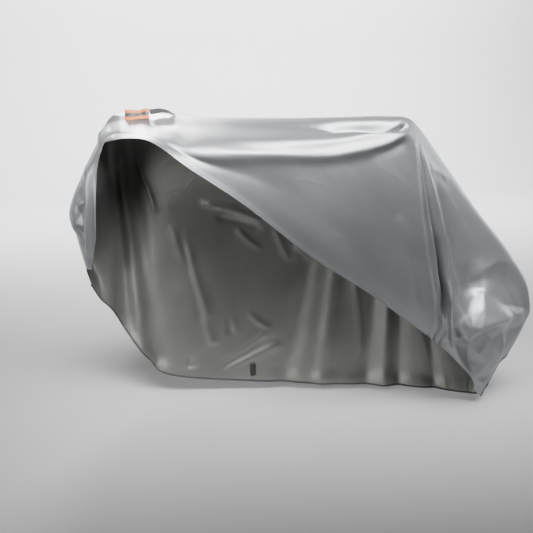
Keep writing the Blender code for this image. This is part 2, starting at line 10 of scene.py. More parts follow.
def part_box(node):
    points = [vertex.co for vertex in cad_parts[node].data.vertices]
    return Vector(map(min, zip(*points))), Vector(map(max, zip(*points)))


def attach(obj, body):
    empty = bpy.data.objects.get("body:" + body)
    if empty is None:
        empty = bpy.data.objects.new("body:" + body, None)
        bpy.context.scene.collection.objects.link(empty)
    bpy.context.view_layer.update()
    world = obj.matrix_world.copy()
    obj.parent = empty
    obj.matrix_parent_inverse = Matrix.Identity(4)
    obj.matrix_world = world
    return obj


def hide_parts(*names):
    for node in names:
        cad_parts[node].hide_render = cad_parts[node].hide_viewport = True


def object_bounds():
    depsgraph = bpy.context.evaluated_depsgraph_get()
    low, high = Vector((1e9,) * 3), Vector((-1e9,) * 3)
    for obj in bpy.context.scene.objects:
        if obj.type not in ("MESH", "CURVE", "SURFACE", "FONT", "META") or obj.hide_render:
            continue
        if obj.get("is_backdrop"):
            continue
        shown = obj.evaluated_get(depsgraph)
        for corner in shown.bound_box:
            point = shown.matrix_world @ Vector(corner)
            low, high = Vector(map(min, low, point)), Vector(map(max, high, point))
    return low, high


# Fitted bicycle cover in coated cloth, with its near side lifted at the front and its far side
# hanging to the ground. +X runs to the tail, -Y to the near side, +Z up, the ground at z -1.05.

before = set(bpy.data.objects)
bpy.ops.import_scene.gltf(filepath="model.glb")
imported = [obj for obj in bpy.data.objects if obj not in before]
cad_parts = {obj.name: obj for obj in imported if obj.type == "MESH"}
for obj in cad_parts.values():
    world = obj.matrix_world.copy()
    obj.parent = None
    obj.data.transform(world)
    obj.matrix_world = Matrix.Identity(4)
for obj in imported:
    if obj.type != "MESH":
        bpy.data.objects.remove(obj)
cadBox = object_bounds()
groundUp = 1.050


def say(words):
    print("scene:", words, flush=True)


camera = dict(
    place=(-0.7286, -2.0176, 0.07),
    yaw=7.2581,        # degrees to the right of straight ahead
    pitch=15.4631,     # degrees down
    lens=41.263,
)


def addCamera():
    data = bpy.data.cameras.new("camera")
    data.sensor_width = 36.0
    data.lens = camera["lens"]
    data.clip_end = 60.0
    made = bpy.data.objects.new("camera", data)
    bpy.context.scene.collection.objects.link(made)
    made.location = camera["place"]
    yaw = math.radians(camera["yaw"])
    pitch = math.radians(camera["pitch"])
    ahead = Vector((
        math.sin(yaw) * math.cos(pitch),
        math.cos(yaw) * math.cos(pitch),
        -math.sin(pitch),
    ))
    made.rotation_euler = ahead.to_track_quat("-Z", "Y").to_euler()
    bpy.context.scene.camera = made


studio = dict(
    floorHalf=7.0,
    backAway=5.0,       # from the object to where the sweep turns up
    sweepRadius=2.0,
    wallHigh=6.0,
    turnSteps=12,
    sky=(0.93, 0.96, 1.0),
    skyStrength=0.035,
    dark=(0.34, 0.34, 0.34),
    light=(0.37, 0.37, 0.37),
    roughness=0.8,
)

white = (1.0, 1.0, 1.0)
lamps = (
    # name, place, aimed at, width, height, watts, beam in degrees, colour
    ("overhead", (-0.35, -0.70, 1.20), (-0.35, 0.12, -0.10), 2.6, 0.9, 52.0, 70.0, white),
    ("front box", (1.3, -1.9, 2.0), (0.40, -0.10, -0.78), 0.8, 0.6, 0.9, 24.0, white),
    ("tail box", (1.20, -1.85, -0.20), (0.38, -0.12, -0.65), 0.20, 0.20, 0.14, 9.0, white),
    ("left softbox", (-2.7, -2.0, 0.5), (0.1, -0.1, -0.5), 0.9, 1.2, 7.5, 70.0, (1.0, 0.99, 0.97)),
    ("roof front", (-1.10, 1.70, 1.05), (-0.95, 0.05, -0.02), 0.6, 0.4, 5.5, 45.0, white),
    ("nose strip", (-3.00, -0.70, 0.20), (-1.05, 0.00, -0.35), 0.5, 1.2, 1.4, 40.0, white),
    ("right rim", (3.0, 1.5, 0.3), (0.3, 0.0, -0.4), 1.5, 2.0, 9.0, 70.0, white),
    ("sweep left", (-2.4, 2.8, 3.0), (-2.0, 7.0, 0.4), 2.5, 1.5, 1400.0, 172.0, white),
    ("sweep right", (1.9, 2.8, 3.0), (1.8, 7.0, 0.4), 2.5, 1.5, 1400.0, 172.0, white),
)


def addLamp(name, place, target, width, height, watts, beam, colour):
    data = bpy.data.lights.new(name, "AREA")
    data.shape = "RECTANGLE"
    data.size = width
    data.size_y = height
    data.energy = watts
    data.spread = math.radians(beam)
    data.color = colour
    made = bpy.data.objects.new(name, data)
    bpy.context.scene.collection.objects.link(made)
    made.visible_camera = False
    made.location = place
    made.rotation_euler = (Vector(target) - Vector(place)).to_track_quat("-Z", "Y").to_euler()


def addWorld():
    world = bpy.data.worlds.new("studio")
    world.use_nodes = True
    back = world.node_tree.nodes["Background"]
    back.inputs["Color"].default_value = (*studio["sky"], 1.0)
    back.inputs["Strength"].default_value = studio["skyStrength"]
    bpy.context.scene.world = world


def addFloor():
    half = studio["floorHalf"]
    back = studio["backAway"]
    radius = studio["sweepRadius"]
    profile = [(-half, 0.0), (back, 0.0)]
    for step in range(1, studio["turnSteps"] + 1):
        turn = math.radians(90.0 * step / studio["turnSteps"])
        profile.append((back + radius * math.sin(turn), radius * (1.0 - math.cos(turn))))
    profile.append((back + radius, studio["wallHigh"]))
    points = []
    for x in (-half, half):
        points += [(x, y, z - groundUp) for y, z in profile]
    count = len(profile)
    faces = [(k, k + count, k + count + 1, k + 1) for k in range(count - 1)]
    mesh = bpy.data.meshes.new("floor")
    mesh.from_pydata(points, [], faces)
    mesh.shade_smooth()
    floor = bpy.data.objects.new("floor", mesh)
    bpy.context.scene.collection.objects.link(floor)
    mesh.materials.append(floorMaterial())
    floor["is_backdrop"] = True


def newMaterial(name):
    made = bpy.data.materials.new(name)
    made.use_nodes = True
    tree = made.node_tree
    return made, tree, tree.nodes["Principled BSDF"]


def addNode(tree, kind, **settings):
    made = tree.nodes.new(kind)
    for name, value in settings.items():
        if name in made.inputs:
            made.inputs[name].default_value = value
        else:
            setattr(made, name, value)
    return made


def join(tree, *pairs):
    for source, target in pairs:
        tree.links.new(source, target)


def mathNode(tree, operation, first, second=None):
    made = tree.nodes.new("ShaderNodeMath")
    made.operation = operation
    for index, value in enumerate((first, second)):
        if value is None:
            continue
        if isinstance(value, (int, float)):
            made.inputs[index].default_value = value
        else:
            tree.links.new(value, made.inputs[index])
    return made.outputs[0]


def spread(tree, value, fromLow, fromHigh, toLow, toHigh):
    made = tree.nodes.new("ShaderNodeMapRange")
    made.inputs["From Min"].default_value = fromLow
    made.inputs["From Max"].default_value = fromHigh
    made.inputs["To Min"].default_value = toLow
    made.inputs["To Max"].default_value = toHigh
    tree.links.new(value, made.inputs["Value"])
    return made.outputs["Result"]


def blendColours(tree, share, first, second):
    made = tree.nodes.new("ShaderNodeMix")
    made.data_type = "RGBA"
    tree.links.new(share, made.inputs["Factor"])
    for socket, value in ((made.inputs[6], first), (made.inputs[7], second)):
        if isinstance(value, tuple):
            socket.default_value = (*value, 1.0)
        else:
            tree.links.new(value, socket)
    return made.outputs[2]


def newGroup(name, inputs, outputs):
    tree = bpy.data.node_groups.new(name, "ShaderNodeTree")
    for label, kind in inputs:
        tree.interface.new_socket(label, in_out="INPUT", socket_type=kind)
    for label, kind in outputs:
        tree.interface.new_socket(label, in_out="OUTPUT", socket_type=kind)
    start = tree.nodes.new("NodeGroupInput")
    end = tree.nodes.new("NodeGroupOutput")
    return tree, start, end


# Plain weave: threads over and under each other, for a UV map laid out in metres.
def makeWeave():
    tree, start, end = newGroup(
        "plain weave",
        [("Vector", "NodeSocketVector"), ("Threads", "NodeSocketFloat")],
        [("Height", "NodeSocketFloat")],
    )
    parts = addNode(tree, "ShaderNodeSeparateXYZ")
    join(tree, (start.outputs["Vector"], parts.inputs[0]))
    waves = []
    for axis in (0, 1):
        turned = mathNode(tree, "MULTIPLY", parts.outputs[axis], start.outputs["Threads"])
        waves.append(mathNode(tree, "SINE", mathNode(tree, "MULTIPLY", turned, math.pi)))
    crossed = mathNode(tree, "MULTIPLY", waves[0], waves[1])
    join(tree, (crossed, end.inputs["Height"]))
    return tree


packedLook = dict(
    bend=5.0,           # noise that bends the creases, for each metre
    push=0.10,
    cells=7.0,
    lineWide=0.05,
    patches=3.0,        # where creases show
    patchSpan=(0.48, 0.62),
    dents=14.0,
    creaseShare=0.35,
)


# Faint creases of cloth that was packed, and soft dents between them.
def makeCrumple():
    tree, start, end = newGroup(
        "packed creases",
        [("Vector", "NodeSocketVector")],
        [("Height", "NodeSocketFloat"), ("Tone", "NodeSocketFloat")],
    )
    bent = addNode(tree, "ShaderNodeTexNoise", Scale=packedLook["bend"], Detail=2.0)
    join(tree, (start.outputs["Vector"], bent.inputs["Vector"]))
    push = addNode(tree, "ShaderNodeVectorMath", operation="SCALE")
    push.inputs["Scale"].default_value = packedLook["push"]
    join(tree, (bent.outputs["Color"], push.inputs[0]))
    moved = addNode(tree, "ShaderNodeVectorMath", operation="ADD")
    join(tree, (start.outputs["Vector"], moved.inputs[0]), (push.outputs[0], moved.inputs[1]))
    cells = addNode(
        tree, "ShaderNodeTexVoronoi", Scale=packedLook["cells"], feature="DISTANCE_TO_EDGE",
    )
    join(tree, (moved.outputs[0], cells.inputs["Vector"]))
    line = spread(tree, cells.outputs["Distance"], 0.0, packedLook["lineWide"], 1.0, 0.0)
    patches = addNode(tree, "ShaderNodeTexNoise", Scale=packedLook["patches"], Detail=3.0)
    join(tree, (start.outputs["Vector"], patches.inputs["Vector"]))
    where = spread(tree, patches.outputs["Fac"], *packedLook["patchSpan"], 0.0, 1.0)
    creases = mathNode(tree, "MULTIPLY", line, where)
    dents = addNode(
        tree, "ShaderNodeTexNoise", Scale=packedLook["dents"], Detail=4.0, Roughness=0.55,
    )
    join(tree, (moved.outputs[0], dents.inputs["Vector"]))
    faint = mathNode(tree, "MULTIPLY", creases, packedLook["creaseShare"])
    height = mathNode(tree, "ADD", faint, dents.outputs["Fac"])
    join(tree, (height, end.inputs["Height"]), (patches.outputs["Fac"], end.inputs["Tone"]))
    return tree


def useGroup(tree, group, **links):
    made = tree.nodes.new("ShaderNodeGroup")
    made.node_tree = group
    for name, value in links.items():
        if isinstance(value, (int, float)):
            made.inputs[name].default_value = value
        else:
            tree.links.new(value, made.inputs[name])
    return made


# Bump nodes one on another: each layer is a height and how deep it is in metres.
def bumps(tree, shader, *layers):
    before = None
    for height, depth in layers:
        bump = addNode(tree, "ShaderNodeBump", Strength=1.0, Distance=depth)
        join(tree, (height, bump.inputs["Height"]))
        if before is not None:
            join(tree, (before, bump.inputs["Normal"]))
        before = bump.outputs["Normal"]
    join(tree, (before, shader.inputs["Normal"]))


clothLook = dict(
    outer=((0.240, 0.246, 0.257), (0.276, 0.282, 0.293)),
    # inside face: the underside's own warmer grey, made darker than the outside as painted shade of the cover's
    # shaded inside
    inner=((0.185, 0.188, 0.178), (0.222, 0.224, 0.213)),
    roughness=(0.38, 0.45),
    threads=900.0,      # for each metre
    weaveDeep=0.00006,
    crumpleDeep=0.0009,
    toneSpan=(0.30, 0.70),
    metallic=0.80,      # the coating's silver
    sheen=0.08,
    sheenRough=0.40,
)


def clothMaterial(name, tones, weave, crumple):
    made, tree, shader = newMaterial(name)
    where = addNode(tree, "ShaderNodeTexCoord")
    flat = where.outputs["UV"]
    woven = useGroup(tree, weave, Vector=flat, Threads=clothLook["threads"])
    packed = useGroup(tree, crumple, Vector=flat)
    tone = spread(tree, packed.outputs["Tone"], *clothLook["toneSpan"], 0.0, 1.0)
    colour = blendColours(tree, tone, tones[0], tones[1])
    rough = spread(tree, packed.outputs["Tone"], *clothLook["toneSpan"], *clothLook["roughness"])
    join(tree, (colour, shader.inputs["Base Color"]), (rough, shader.inputs["Roughness"]))
    shader.inputs["Metallic"].default_value = clothLook["metallic"]
    shader.inputs["Sheen Weight"].default_value = clothLook["sheen"]
    shader.inputs["Sheen Roughness"].default_value = clothLook["sheenRough"]
    bumps(
        tree, shader,
        (packed.outputs["Height"], clothLook["crumpleDeep"]),
        (woven.outputs["Height"], clothLook["weaveDeep"]),
    )
    return made


def floorMaterial():
    made, tree, shader = newMaterial("pale floor")
    where = addNode(tree, "ShaderNodeTexCoord")
    grain = addNode(tree, "ShaderNodeTexNoise", Scale=3.0, Detail=3.0)
    join(tree, (where.outputs["Object"], grain.inputs["Vector"]))
    colour = blendColours(tree, grain.outputs["Fac"], studio["dark"], studio["light"])
    join(tree, (colour, shader.inputs["Base Color"]))
    shader.inputs["Roughness"].default_value = studio["roughness"]
    return made


def threadMaterial(name, look):
    made, tree, shader = newMaterial(name)
    where = addNode(tree, "ShaderNodeTexCoord")
    fuzz = addNode(tree, "ShaderNodeTexNoise", Scale=900.0, Detail=2.0)
    join(tree, (where.outputs["Object"], fuzz.inputs["Vector"]))
    colour = blendColours(tree, fuzz.outputs["Fac"], look["dark"], look["light"])
    join(tree, (colour, shader.inputs["Base Color"]))
    shader.inputs["Roughness"].default_value = 0.7
    bumps(tree, shader, (fuzz.outputs["Fac"], 0.0002))
    return made


# Ribbed tape: ribs run along it, small weave bars across.
def webbingMaterial(name, look):
    made, tree, shader = newMaterial(name)
    where = addNode(tree, "ShaderNodeTexCoord")
    parts = addNode(tree, "ShaderNodeSeparateXYZ")
    join(tree, (where.outputs["UV"], parts.inputs[0]))
    bars = mathNode(tree, "MULTIPLY", parts.outputs[0], look["bars"] * 2 * math.pi)
    run = mathNode(tree, "SINE", bars)
    ribs = mathNode(tree, "MULTIPLY", parts.outputs[1], look["ribs"] * 2 * math.pi)
    rib = mathNode(tree, "SINE", ribs)
    height = mathNode(tree, "ADD", rib, mathNode(tree, "MULTIPLY", run, 0.5))
    fuzz = addNode(tree, "ShaderNodeTexNoise", Scale=300.0, Detail=3.0)
    join(tree, (where.outputs["UV"], fuzz.inputs["Vector"]))
    colour = blendColours(tree, fuzz.outputs["Fac"], look["dark"], look["light"])
    join(tree, (colour, shader.inputs["Base Color"]))
    shader.inputs["Roughness"].default_value = 0.75
    bumps(tree, shader, (height, 0.0002), (fuzz.outputs["Fac"], 0.0003))
    return made


# Orange tape with a grey stripe down its middle.
def stripedMaterial(name, look):
    made, tree, shader = newMaterial(name)
    where = addNode(tree, "ShaderNodeTexCoord")
    parts = addNode(tree, "ShaderNodeSeparateXYZ")
    join(tree, (where.outputs["UV"], parts.inputs[0]))
    width = look["wide"]
    across = mathNode(tree, "MODULO", parts.outputs[1], width)
    aside = mathNode(tree, "ABSOLUTE", mathNode(tree, "SUBTRACT", across, width / 2.0))
    inside, outside = look["stripeEdge"]
    stripe = spread(tree, aside, width * inside, width * outside, 1.0, 0.0)
    fuzz = addNode(tree, "ShaderNodeTexNoise", Scale=160.0, Detail=3.0)
    join(tree, (where.outputs["UV"], fuzz.inputs["Vector"]))
    orange = blendColours(tree, fuzz.outputs["Fac"], *look["orange"])
    grey = blendColours(tree, fuzz.outputs["Fac"], *look["grey"])
    colour = blendColours(tree, stripe, orange, grey)
    rough = spread(tree, stripe, 0.0, 1.0, *look["roughness"])
    join(tree, (colour, shader.inputs["Base Color"]), (rough, shader.inputs["Roughness"]))
    bumps(tree, shader, (fuzz.outputs["Fac"], 0.0004))
    return made


def mouldedMaterial(name, look):
    made, tree, shader = newMaterial(name)
    where = addNode(tree, "ShaderNodeTexCoord")
    grain = addNode(tree, "ShaderNodeTexNoise", Scale=500.0, Detail=2.0)
    join(tree, (where.outputs["Object"], grain.inputs["Vector"]))
    colour = blendColours(tree, grain.outputs["Fac"], look["dark"], look["light"])
    rough = spread(tree, grain.outputs["Fac"], 0.3, 0.7, *look["roughness"])
    join(tree, (colour, shader.inputs["Base Color"]), (rough, shader.inputs["Roughness"]))
    bumps(tree, shader, (grain.outputs["Fac"], 0.0001))
    return made


cloth = dict(
    thick=0.0010,
    layerSunk=0.0005,      # outer face below the face of the solid
    seamGap=0.0003,
    ridgePlace=0.50,
    foldFade=0.06,
    foldEnd=0.12,
    creaseEnd=0.18,
    facetSoft=1,        # passes of softening
    hemCurl=0.010,      # far hem turned in over the ground
    hemCurlWide=0.038,
    hemCurlLow=0.35,    # share of the ground's depth that it is curled below
    hemCurlFade=0.2,
    nearCurl=0.008,     # near hem turned under
    nearCurlWide=0.048,
    nearCurlSpan=(-0.80, 0.30),
    nearCurlFade=0.15,
    hemWide=0.016,
    hemThick=0.0009,
    felledWide=0.010,
    felledThick=0.0006,
    hemStep=0.002,         # over which a doubled edge thins out
    rippleFade=0.02,
)

columnDensity = (
    # from section, to section, columns
    (0.0, 2.0, 26),
    (2.0, 5.0, 46),
    (5.0, 6.0, 24),
    (6.0, 8.5, 84),
    (8.5, 10.0, 96),
    (10.0, 12.5, 88),
    (12.5, 15.0, 50),
)
stripDensity = (
    # from, to, strips across the cloth
    (0.00, 0.12, 26),
    (0.12, 0.17, 15),
    (0.17, 0.32, 39),
    (0.32, 0.42, 20),
    (0.42, 0.50, 19),
    (0.50, 0.60, 10),
    (0.60, 1.00, 108),
)

# Guide lines run from the nose to the tail, each with its place across the cloth. The rows are
# the section it belongs to, along (to the tail), out (to the far side) and up from the ground.
guideLines = (
    ("near hem", 0.00, (
        (0.0, -1.082, 0.130, 0.530),
        (1.0, -1.052, 0.086, 0.640),
        (2.0, -1.040, 0.070, 0.772),
        (3.0, -1.028, 0.070, 0.882),
        (4.0, -1.010, 0.065, 0.951),
        (5.0, -0.980, 0.050, 0.984),
        (5.5, -0.924, 0.000, 0.996),
        (6.0, -0.844, -0.050, 0.989),
        (6.5, -0.738, -0.090, 0.918),
        (7.0, -0.555, -0.120, 0.794),
        (7.5, -0.345, -0.125, 0.623),
        (8.0, -0.150, -0.110, 0.489),
        (8.5, 0.002, -0.095, 0.374),
        (9.0, 0.118, -0.085, 0.285),
        (9.5, 0.175, -0.075, 0.235),
        (10.0, 0.225, -0.065, 0.185),
        (11.0, 0.262, -0.060, 0.149),
        (12.0, 0.286, -0.055, 0.121),
        (13.0, 0.303, -0.050, 0.093),
        (14.0, 0.312, -0.045, 0.061),
        (15.0, 0.340, -0.035, 0.029),
    )),
    ("near tuck", 0.12, (
        (0.0, -1.087, 0.135, 0.530),
        (1.0, -1.070, 0.092, 0.640),
        (2.0, -1.065, 0.081, 0.764),
        (3.0, -1.043, 0.081, 0.882),
        (4.0, -1.017, 0.084, 0.957),
        (5.0, -0.988, 0.078, 0.994),
        (5.5, -0.924, 0.028, 1.003),
        (6.0, -0.838, -0.029, 0.995),
        (6.5, -0.716, -0.080, 0.928),
        (7.0, -0.531, -0.106, 0.846),
        (7.5, -0.342, -0.118, 0.738),
        (8.0, -0.172, -0.122, 0.660),
        (8.5, -0.040, -0.114, 0.590),
        (9.0, 0.078, -0.107, 0.495),
        (9.5, 0.152, -0.102, 0.390),
        (10.0, 0.192, -0.096, 0.300),
        (10.5, 0.226, -0.086, 0.268),
        (11.0, 0.260, -0.078, 0.248),
        (12.0, 0.313, -0.075, 0.263),
        (13.0, 0.352, -0.066, 0.255),
        (14.0, 0.366, -0.050, 0.160),
        (15.0, 0.354, -0.033, 0.056),
    )),
    ("near belly", 0.17, (
        (0.0, -1.089, 0.138, 0.530),
        (1.0, -1.079, 0.096, 0.640),
        (2.0, -1.076, 0.086, 0.760),
        (3.0, -1.050, 0.086, 0.882),
        (4.0, -1.020, 0.092, 0.960),
        (5.0, -0.991, 0.090, 0.998),
        (5.5, -0.924, 0.040, 1.006),
        (6.0, -0.836, -0.020, 0.997),
        (6.5, -0.707, -0.075, 0.932),
        (7.0, -0.521, -0.100, 0.869),
        (7.5, -0.340, -0.115, 0.788),
        (8.0, -0.182, -0.125, 0.738),
        (8.5, -0.058, -0.120, 0.700),
        (9.0, 0.060, -0.115, 0.590),
        (9.5, 0.138, -0.112, 0.480),
        (10.0, 0.168, -0.111, 0.405),
        (10.5, 0.200, -0.119, 0.348),
        (11.0, 0.225, -0.125, 0.300),
        (12.0, 0.288, -0.122, 0.322),
        (13.0, 0.358, -0.103, 0.328),
        (14.0, 0.387, -0.066, 0.222),
        (15.0, 0.369, -0.030, 0.079),
    )),
    ("near swag", 0.32, (
        (0.0, -1.095, 0.148, 0.528),
        (1.0, -1.104, 0.116, 0.640),
        (2.0, -1.112, 0.110, 0.745),
        (3.0, -1.070, 0.116, 0.880),
        (4.0, -1.030, 0.130, 0.966),
        (5.0, -0.995, 0.130, 1.012),
        (5.5, -0.927, 0.080, 1.020),
        (6.0, -0.827, 0.020, 1.010),
        (6.5, -0.674, -0.060, 0.961),
        (7.0, -0.503, -0.085, 0.955),
        (7.5, -0.345, -0.095, 0.951),
        (8.0, -0.218, -0.100, 0.966),
        (8.5, -0.102, -0.095, 0.986),
        (9.0, -0.010, -0.091, 0.950),
        (9.5, 0.067, -0.085, 0.852),
        (10.0, 0.126, -0.074, 0.740),
        (10.5, 0.178, -0.076, 0.600),
        (11.0, 0.229, -0.084, 0.495),
        (12.0, 0.298, -0.090, 0.481),
        (13.0, 0.386, -0.080, 0.411),
        (14.0, 0.426, -0.055, 0.308),
        (15.0, 0.398, -0.020, 0.126),
    )),
    ("near roll", 0.42, (
        (0.0, -1.099, 0.157, 0.527),
        (1.0, -1.122, 0.148, 0.640),
        (2.0, -1.140, 0.150, 0.733),
        (3.0, -1.086, 0.160, 0.874),
        (4.0, -1.038, 0.172, 0.966),
        (5.0, -0.995, 0.200, 1.032),
        (5.5, -0.936, 0.160, 1.043),
        (6.0, -0.823, 0.100, 1.035),
        (6.5, -0.677, 0.030, 1.015),
        (7.0, -0.522, -0.030, 1.004),
        (7.5, -0.365, -0.060, 1.002),
        (8.0, -0.221, -0.070, 1.011),
        (8.5, -0.110, -0.070, 1.029),
        (9.0, -0.030, -0.060, 1.037),
        (9.5, 0.036, -0.055, 0.972),
        (10.0, 0.117, -0.050, 0.855),
        (11.0, 0.225, -0.050, 0.682),
        (12.0, 0.359, -0.045, 0.550),
        (13.0, 0.458, -0.040, 0.409),
        (14.0, 0.461, -0.035, 0.306),
        (15.0, 0.423, -0.010, 0.157),
    )),
    ("ridge", 0.50, (
        (0.0, -1.104, 0.168, 0.525),
        (1.0, -1.130, 0.180, 0.640),
        (2.0, -1.149, 0.190, 0.726),
        (3.0, -1.092, 0.200, 0.865),
        (4.0, -1.039, 0.210, 0.957),
        (4.3, -1.033, 0.215, 0.994),
        (4.6, -1.013, 0.230, 1.017),
        (5.0, -0.988, 0.240, 1.054),
        (5.5, -0.952, 0.235, 1.066),
        (6.0, -0.819, 0.200, 1.065),
        (6.5, -0.682, 0.170, 1.053),
        (7.0, -0.512, 0.130, 1.052),
        (7.5, -0.346, 0.085, 1.053),
        (8.0, -0.203, 0.035, 1.057),
        (8.5, -0.091, 0.005, 1.060),
        (9.0, -0.006, 0.000, 1.054),
        (9.5, 0.040, 0.000, 1.024),
        (10.0, 0.126, 0.000, 0.921),
        (11.0, 0.268, 0.000, 0.745),
        (12.0, 0.418, 0.000, 0.573),
        (12.5, 0.488, 0.000, 0.472),
        (13.0, 0.517, 0.000, 0.382),
        (14.0, 0.501, 0.000, 0.295),
        (14.5, 0.483, 0.005, 0.237),
        (15.0, 0.460, 0.010, 0.175),
    )),
    ("far shoulder", 0.58, (
        (0.0, -1.106, 0.178, 0.515),
        (1.0, -1.122, 0.205, 0.610),
        (2.0, -1.130, 0.225, 0.670),
        (3.0, -1.070, 0.245, 0.800),
        (4.0, -1.010, 0.265, 0.900),
        (5.0, -0.960, 0.285, 0.990),
        (6.0, -0.815, 0.255, 0.990),
        (7.0, -0.515, 0.195, 0.975),
        (8.0, -0.210, 0.115, 0.985),
        (9.0, 0.010, 0.085, 0.985),
        (10.0, 0.130, 0.070, 0.850),
        (11.0, 0.262, 0.070, 0.680),
        (12.0, 0.395, 0.075, 0.520),
        (13.0, 0.470, 0.075, 0.370),
        (14.0, 0.465, 0.060, 0.280),
        (15.0, 0.440, 0.040, 0.160),
    )),
    ("far belly", 0.72, (
        (0.0, -1.104, 0.180, 0.500),
        (1.0, -1.105, 0.210, 0.540),
        (2.0, -1.095, 0.235, 0.575),
        (3.0, -1.045, 0.255, 0.640),
        (4.0, -0.985, 0.265, 0.690),
        (5.0, -0.925, 0.270, 0.720),
        (6.0, -0.800, 0.250, 0.700),
        (7.0, -0.520, 0.225, 0.680),
        (8.0, -0.180, 0.190, 0.690),
        (9.0, 0.045, 0.150, 0.700),
        (10.0, 0.150, 0.125, 0.620),
        (11.0, 0.245, 0.110, 0.510),
        (12.0, 0.345, 0.105, 0.400),
        (13.0, 0.420, 0.095, 0.290),
        (14.0, 0.425, 0.075, 0.220),
        (15.0, 0.420, 0.045, 0.120),
    )),
    ("far low", 0.86, (
        (0.0, -1.099, 0.176, 0.483),
        (1.0, -1.085, 0.198, 0.475),
        (2.0, -1.062, 0.215, 0.470),
        (3.0, -1.022, 0.230, 0.480),
        (4.0, -0.970, 0.232, 0.450),
        (5.0, -0.912, 0.232, 0.425),
        (6.0, -0.810, 0.225, 0.380),
        (7.0, -0.535, 0.215, 0.355),
        (8.0, -0.145, 0.180, 0.350),
        (9.0, 0.065, 0.140, 0.345),
        (10.0, 0.175, 0.110, 0.300),
        (11.0, 0.250, 0.095, 0.250),
        (12.0, 0.320, 0.080, 0.200),
        (13.0, 0.370, 0.065, 0.150),
        (14.0, 0.385, 0.050, 0.115),
        (15.0, 0.395, 0.035, 0.070),
    )),
    ("far hem", 1.00, (
        (0.0, -1.093, 0.170, 0.466),
        (1.0, -1.066, 0.180, 0.412),
        (2.0, -1.034, 0.190, 0.372),
        (3.0, -1.002, 0.200, 0.324),
        (4.0, -0.952, 0.200, 0.224),
        (5.0, -0.899, 0.200, 0.151),
        (6.0, -0.826, 0.200, 0.086),
        (7.0, -0.553, 0.190, 0.050),
        (7.5, -0.316, 0.170, 0.035),
        (8.0, -0.117, 0.140, 0.030),
        (9.0, 0.080, 0.110, 0.025),
        (10.0, 0.198, 0.085, 0.020),
        (11.0, 0.257, 0.065, 0.018),
        (12.0, 0.294, 0.050, 0.016),
        (13.0, 0.323, 0.040, 0.015),
        (14.0, 0.348, 0.030, 0.014),
        (15.0, 0.372, 0.015, 0.020),
    )),
)

# Main folds, seen from the side: name, start along and up, end along and up, sideways bow, half
# width at start and end, height at start and end, sharpness (2 soft, 1.2 a crease).
farFolds = (
    ("nose drape", -1.010, 0.950, -0.985, 0.260, 0.012, 0.020, 0.035, 0.010, 0.018, 2.0),
    ("front drape", -0.930, 0.980, -0.870, 0.160, -0.010, 0.022, 0.035, 0.004, 0.014, 2.0),
    ("front hollow", -0.970, 0.900, -0.925, 0.200, 0.000, 0.016, 0.026, -0.010, -0.016, 2.0),
    ("middle drape", -0.250, 0.850, -0.380, 0.060, 0.020, 0.025, 0.045, 0.006, 0.016, 2.0),
    ("middle hollow", -0.160, 0.830, -0.230, 0.050, 0.010, 0.020, 0.035, -0.006, -0.014, 2.0),
    ("first fan fold", -0.020, 0.970, -0.060, 0.060, 0.015, 0.010, 0.040, 0.004, 0.016, 1.8),
    ("second fan fold", 0.015, 0.970, 0.070, 0.060, 0.020, 0.008, 0.035, 0.004, 0.020, 1.7),
    ("fan hollow", 0.000, 0.960, 0.010, 0.060, 0.015, 0.008, 0.026, -0.004, -0.016, 1.8),
    ("third fan fold", 0.040, 0.960, 0.200, 0.060, 0.030, 0.008, 0.030, 0.004, 0.018, 1.7),
    ("tail hollow", 0.090, 0.890, 0.260, 0.330, 0.000, 0.020, 0.050, -0.012, -0.022, 2.0),
    ("tail bulge", 0.300, 0.450, 0.400, 0.330, 0.000, 0.030, 0.030, 0.012, 0.014, 1.8),
    ("tail tuck", 0.290, 0.250, 0.420, 0.280, 0.000, 0.020, 0.016, -0.014, -0.012, 1.8),
)

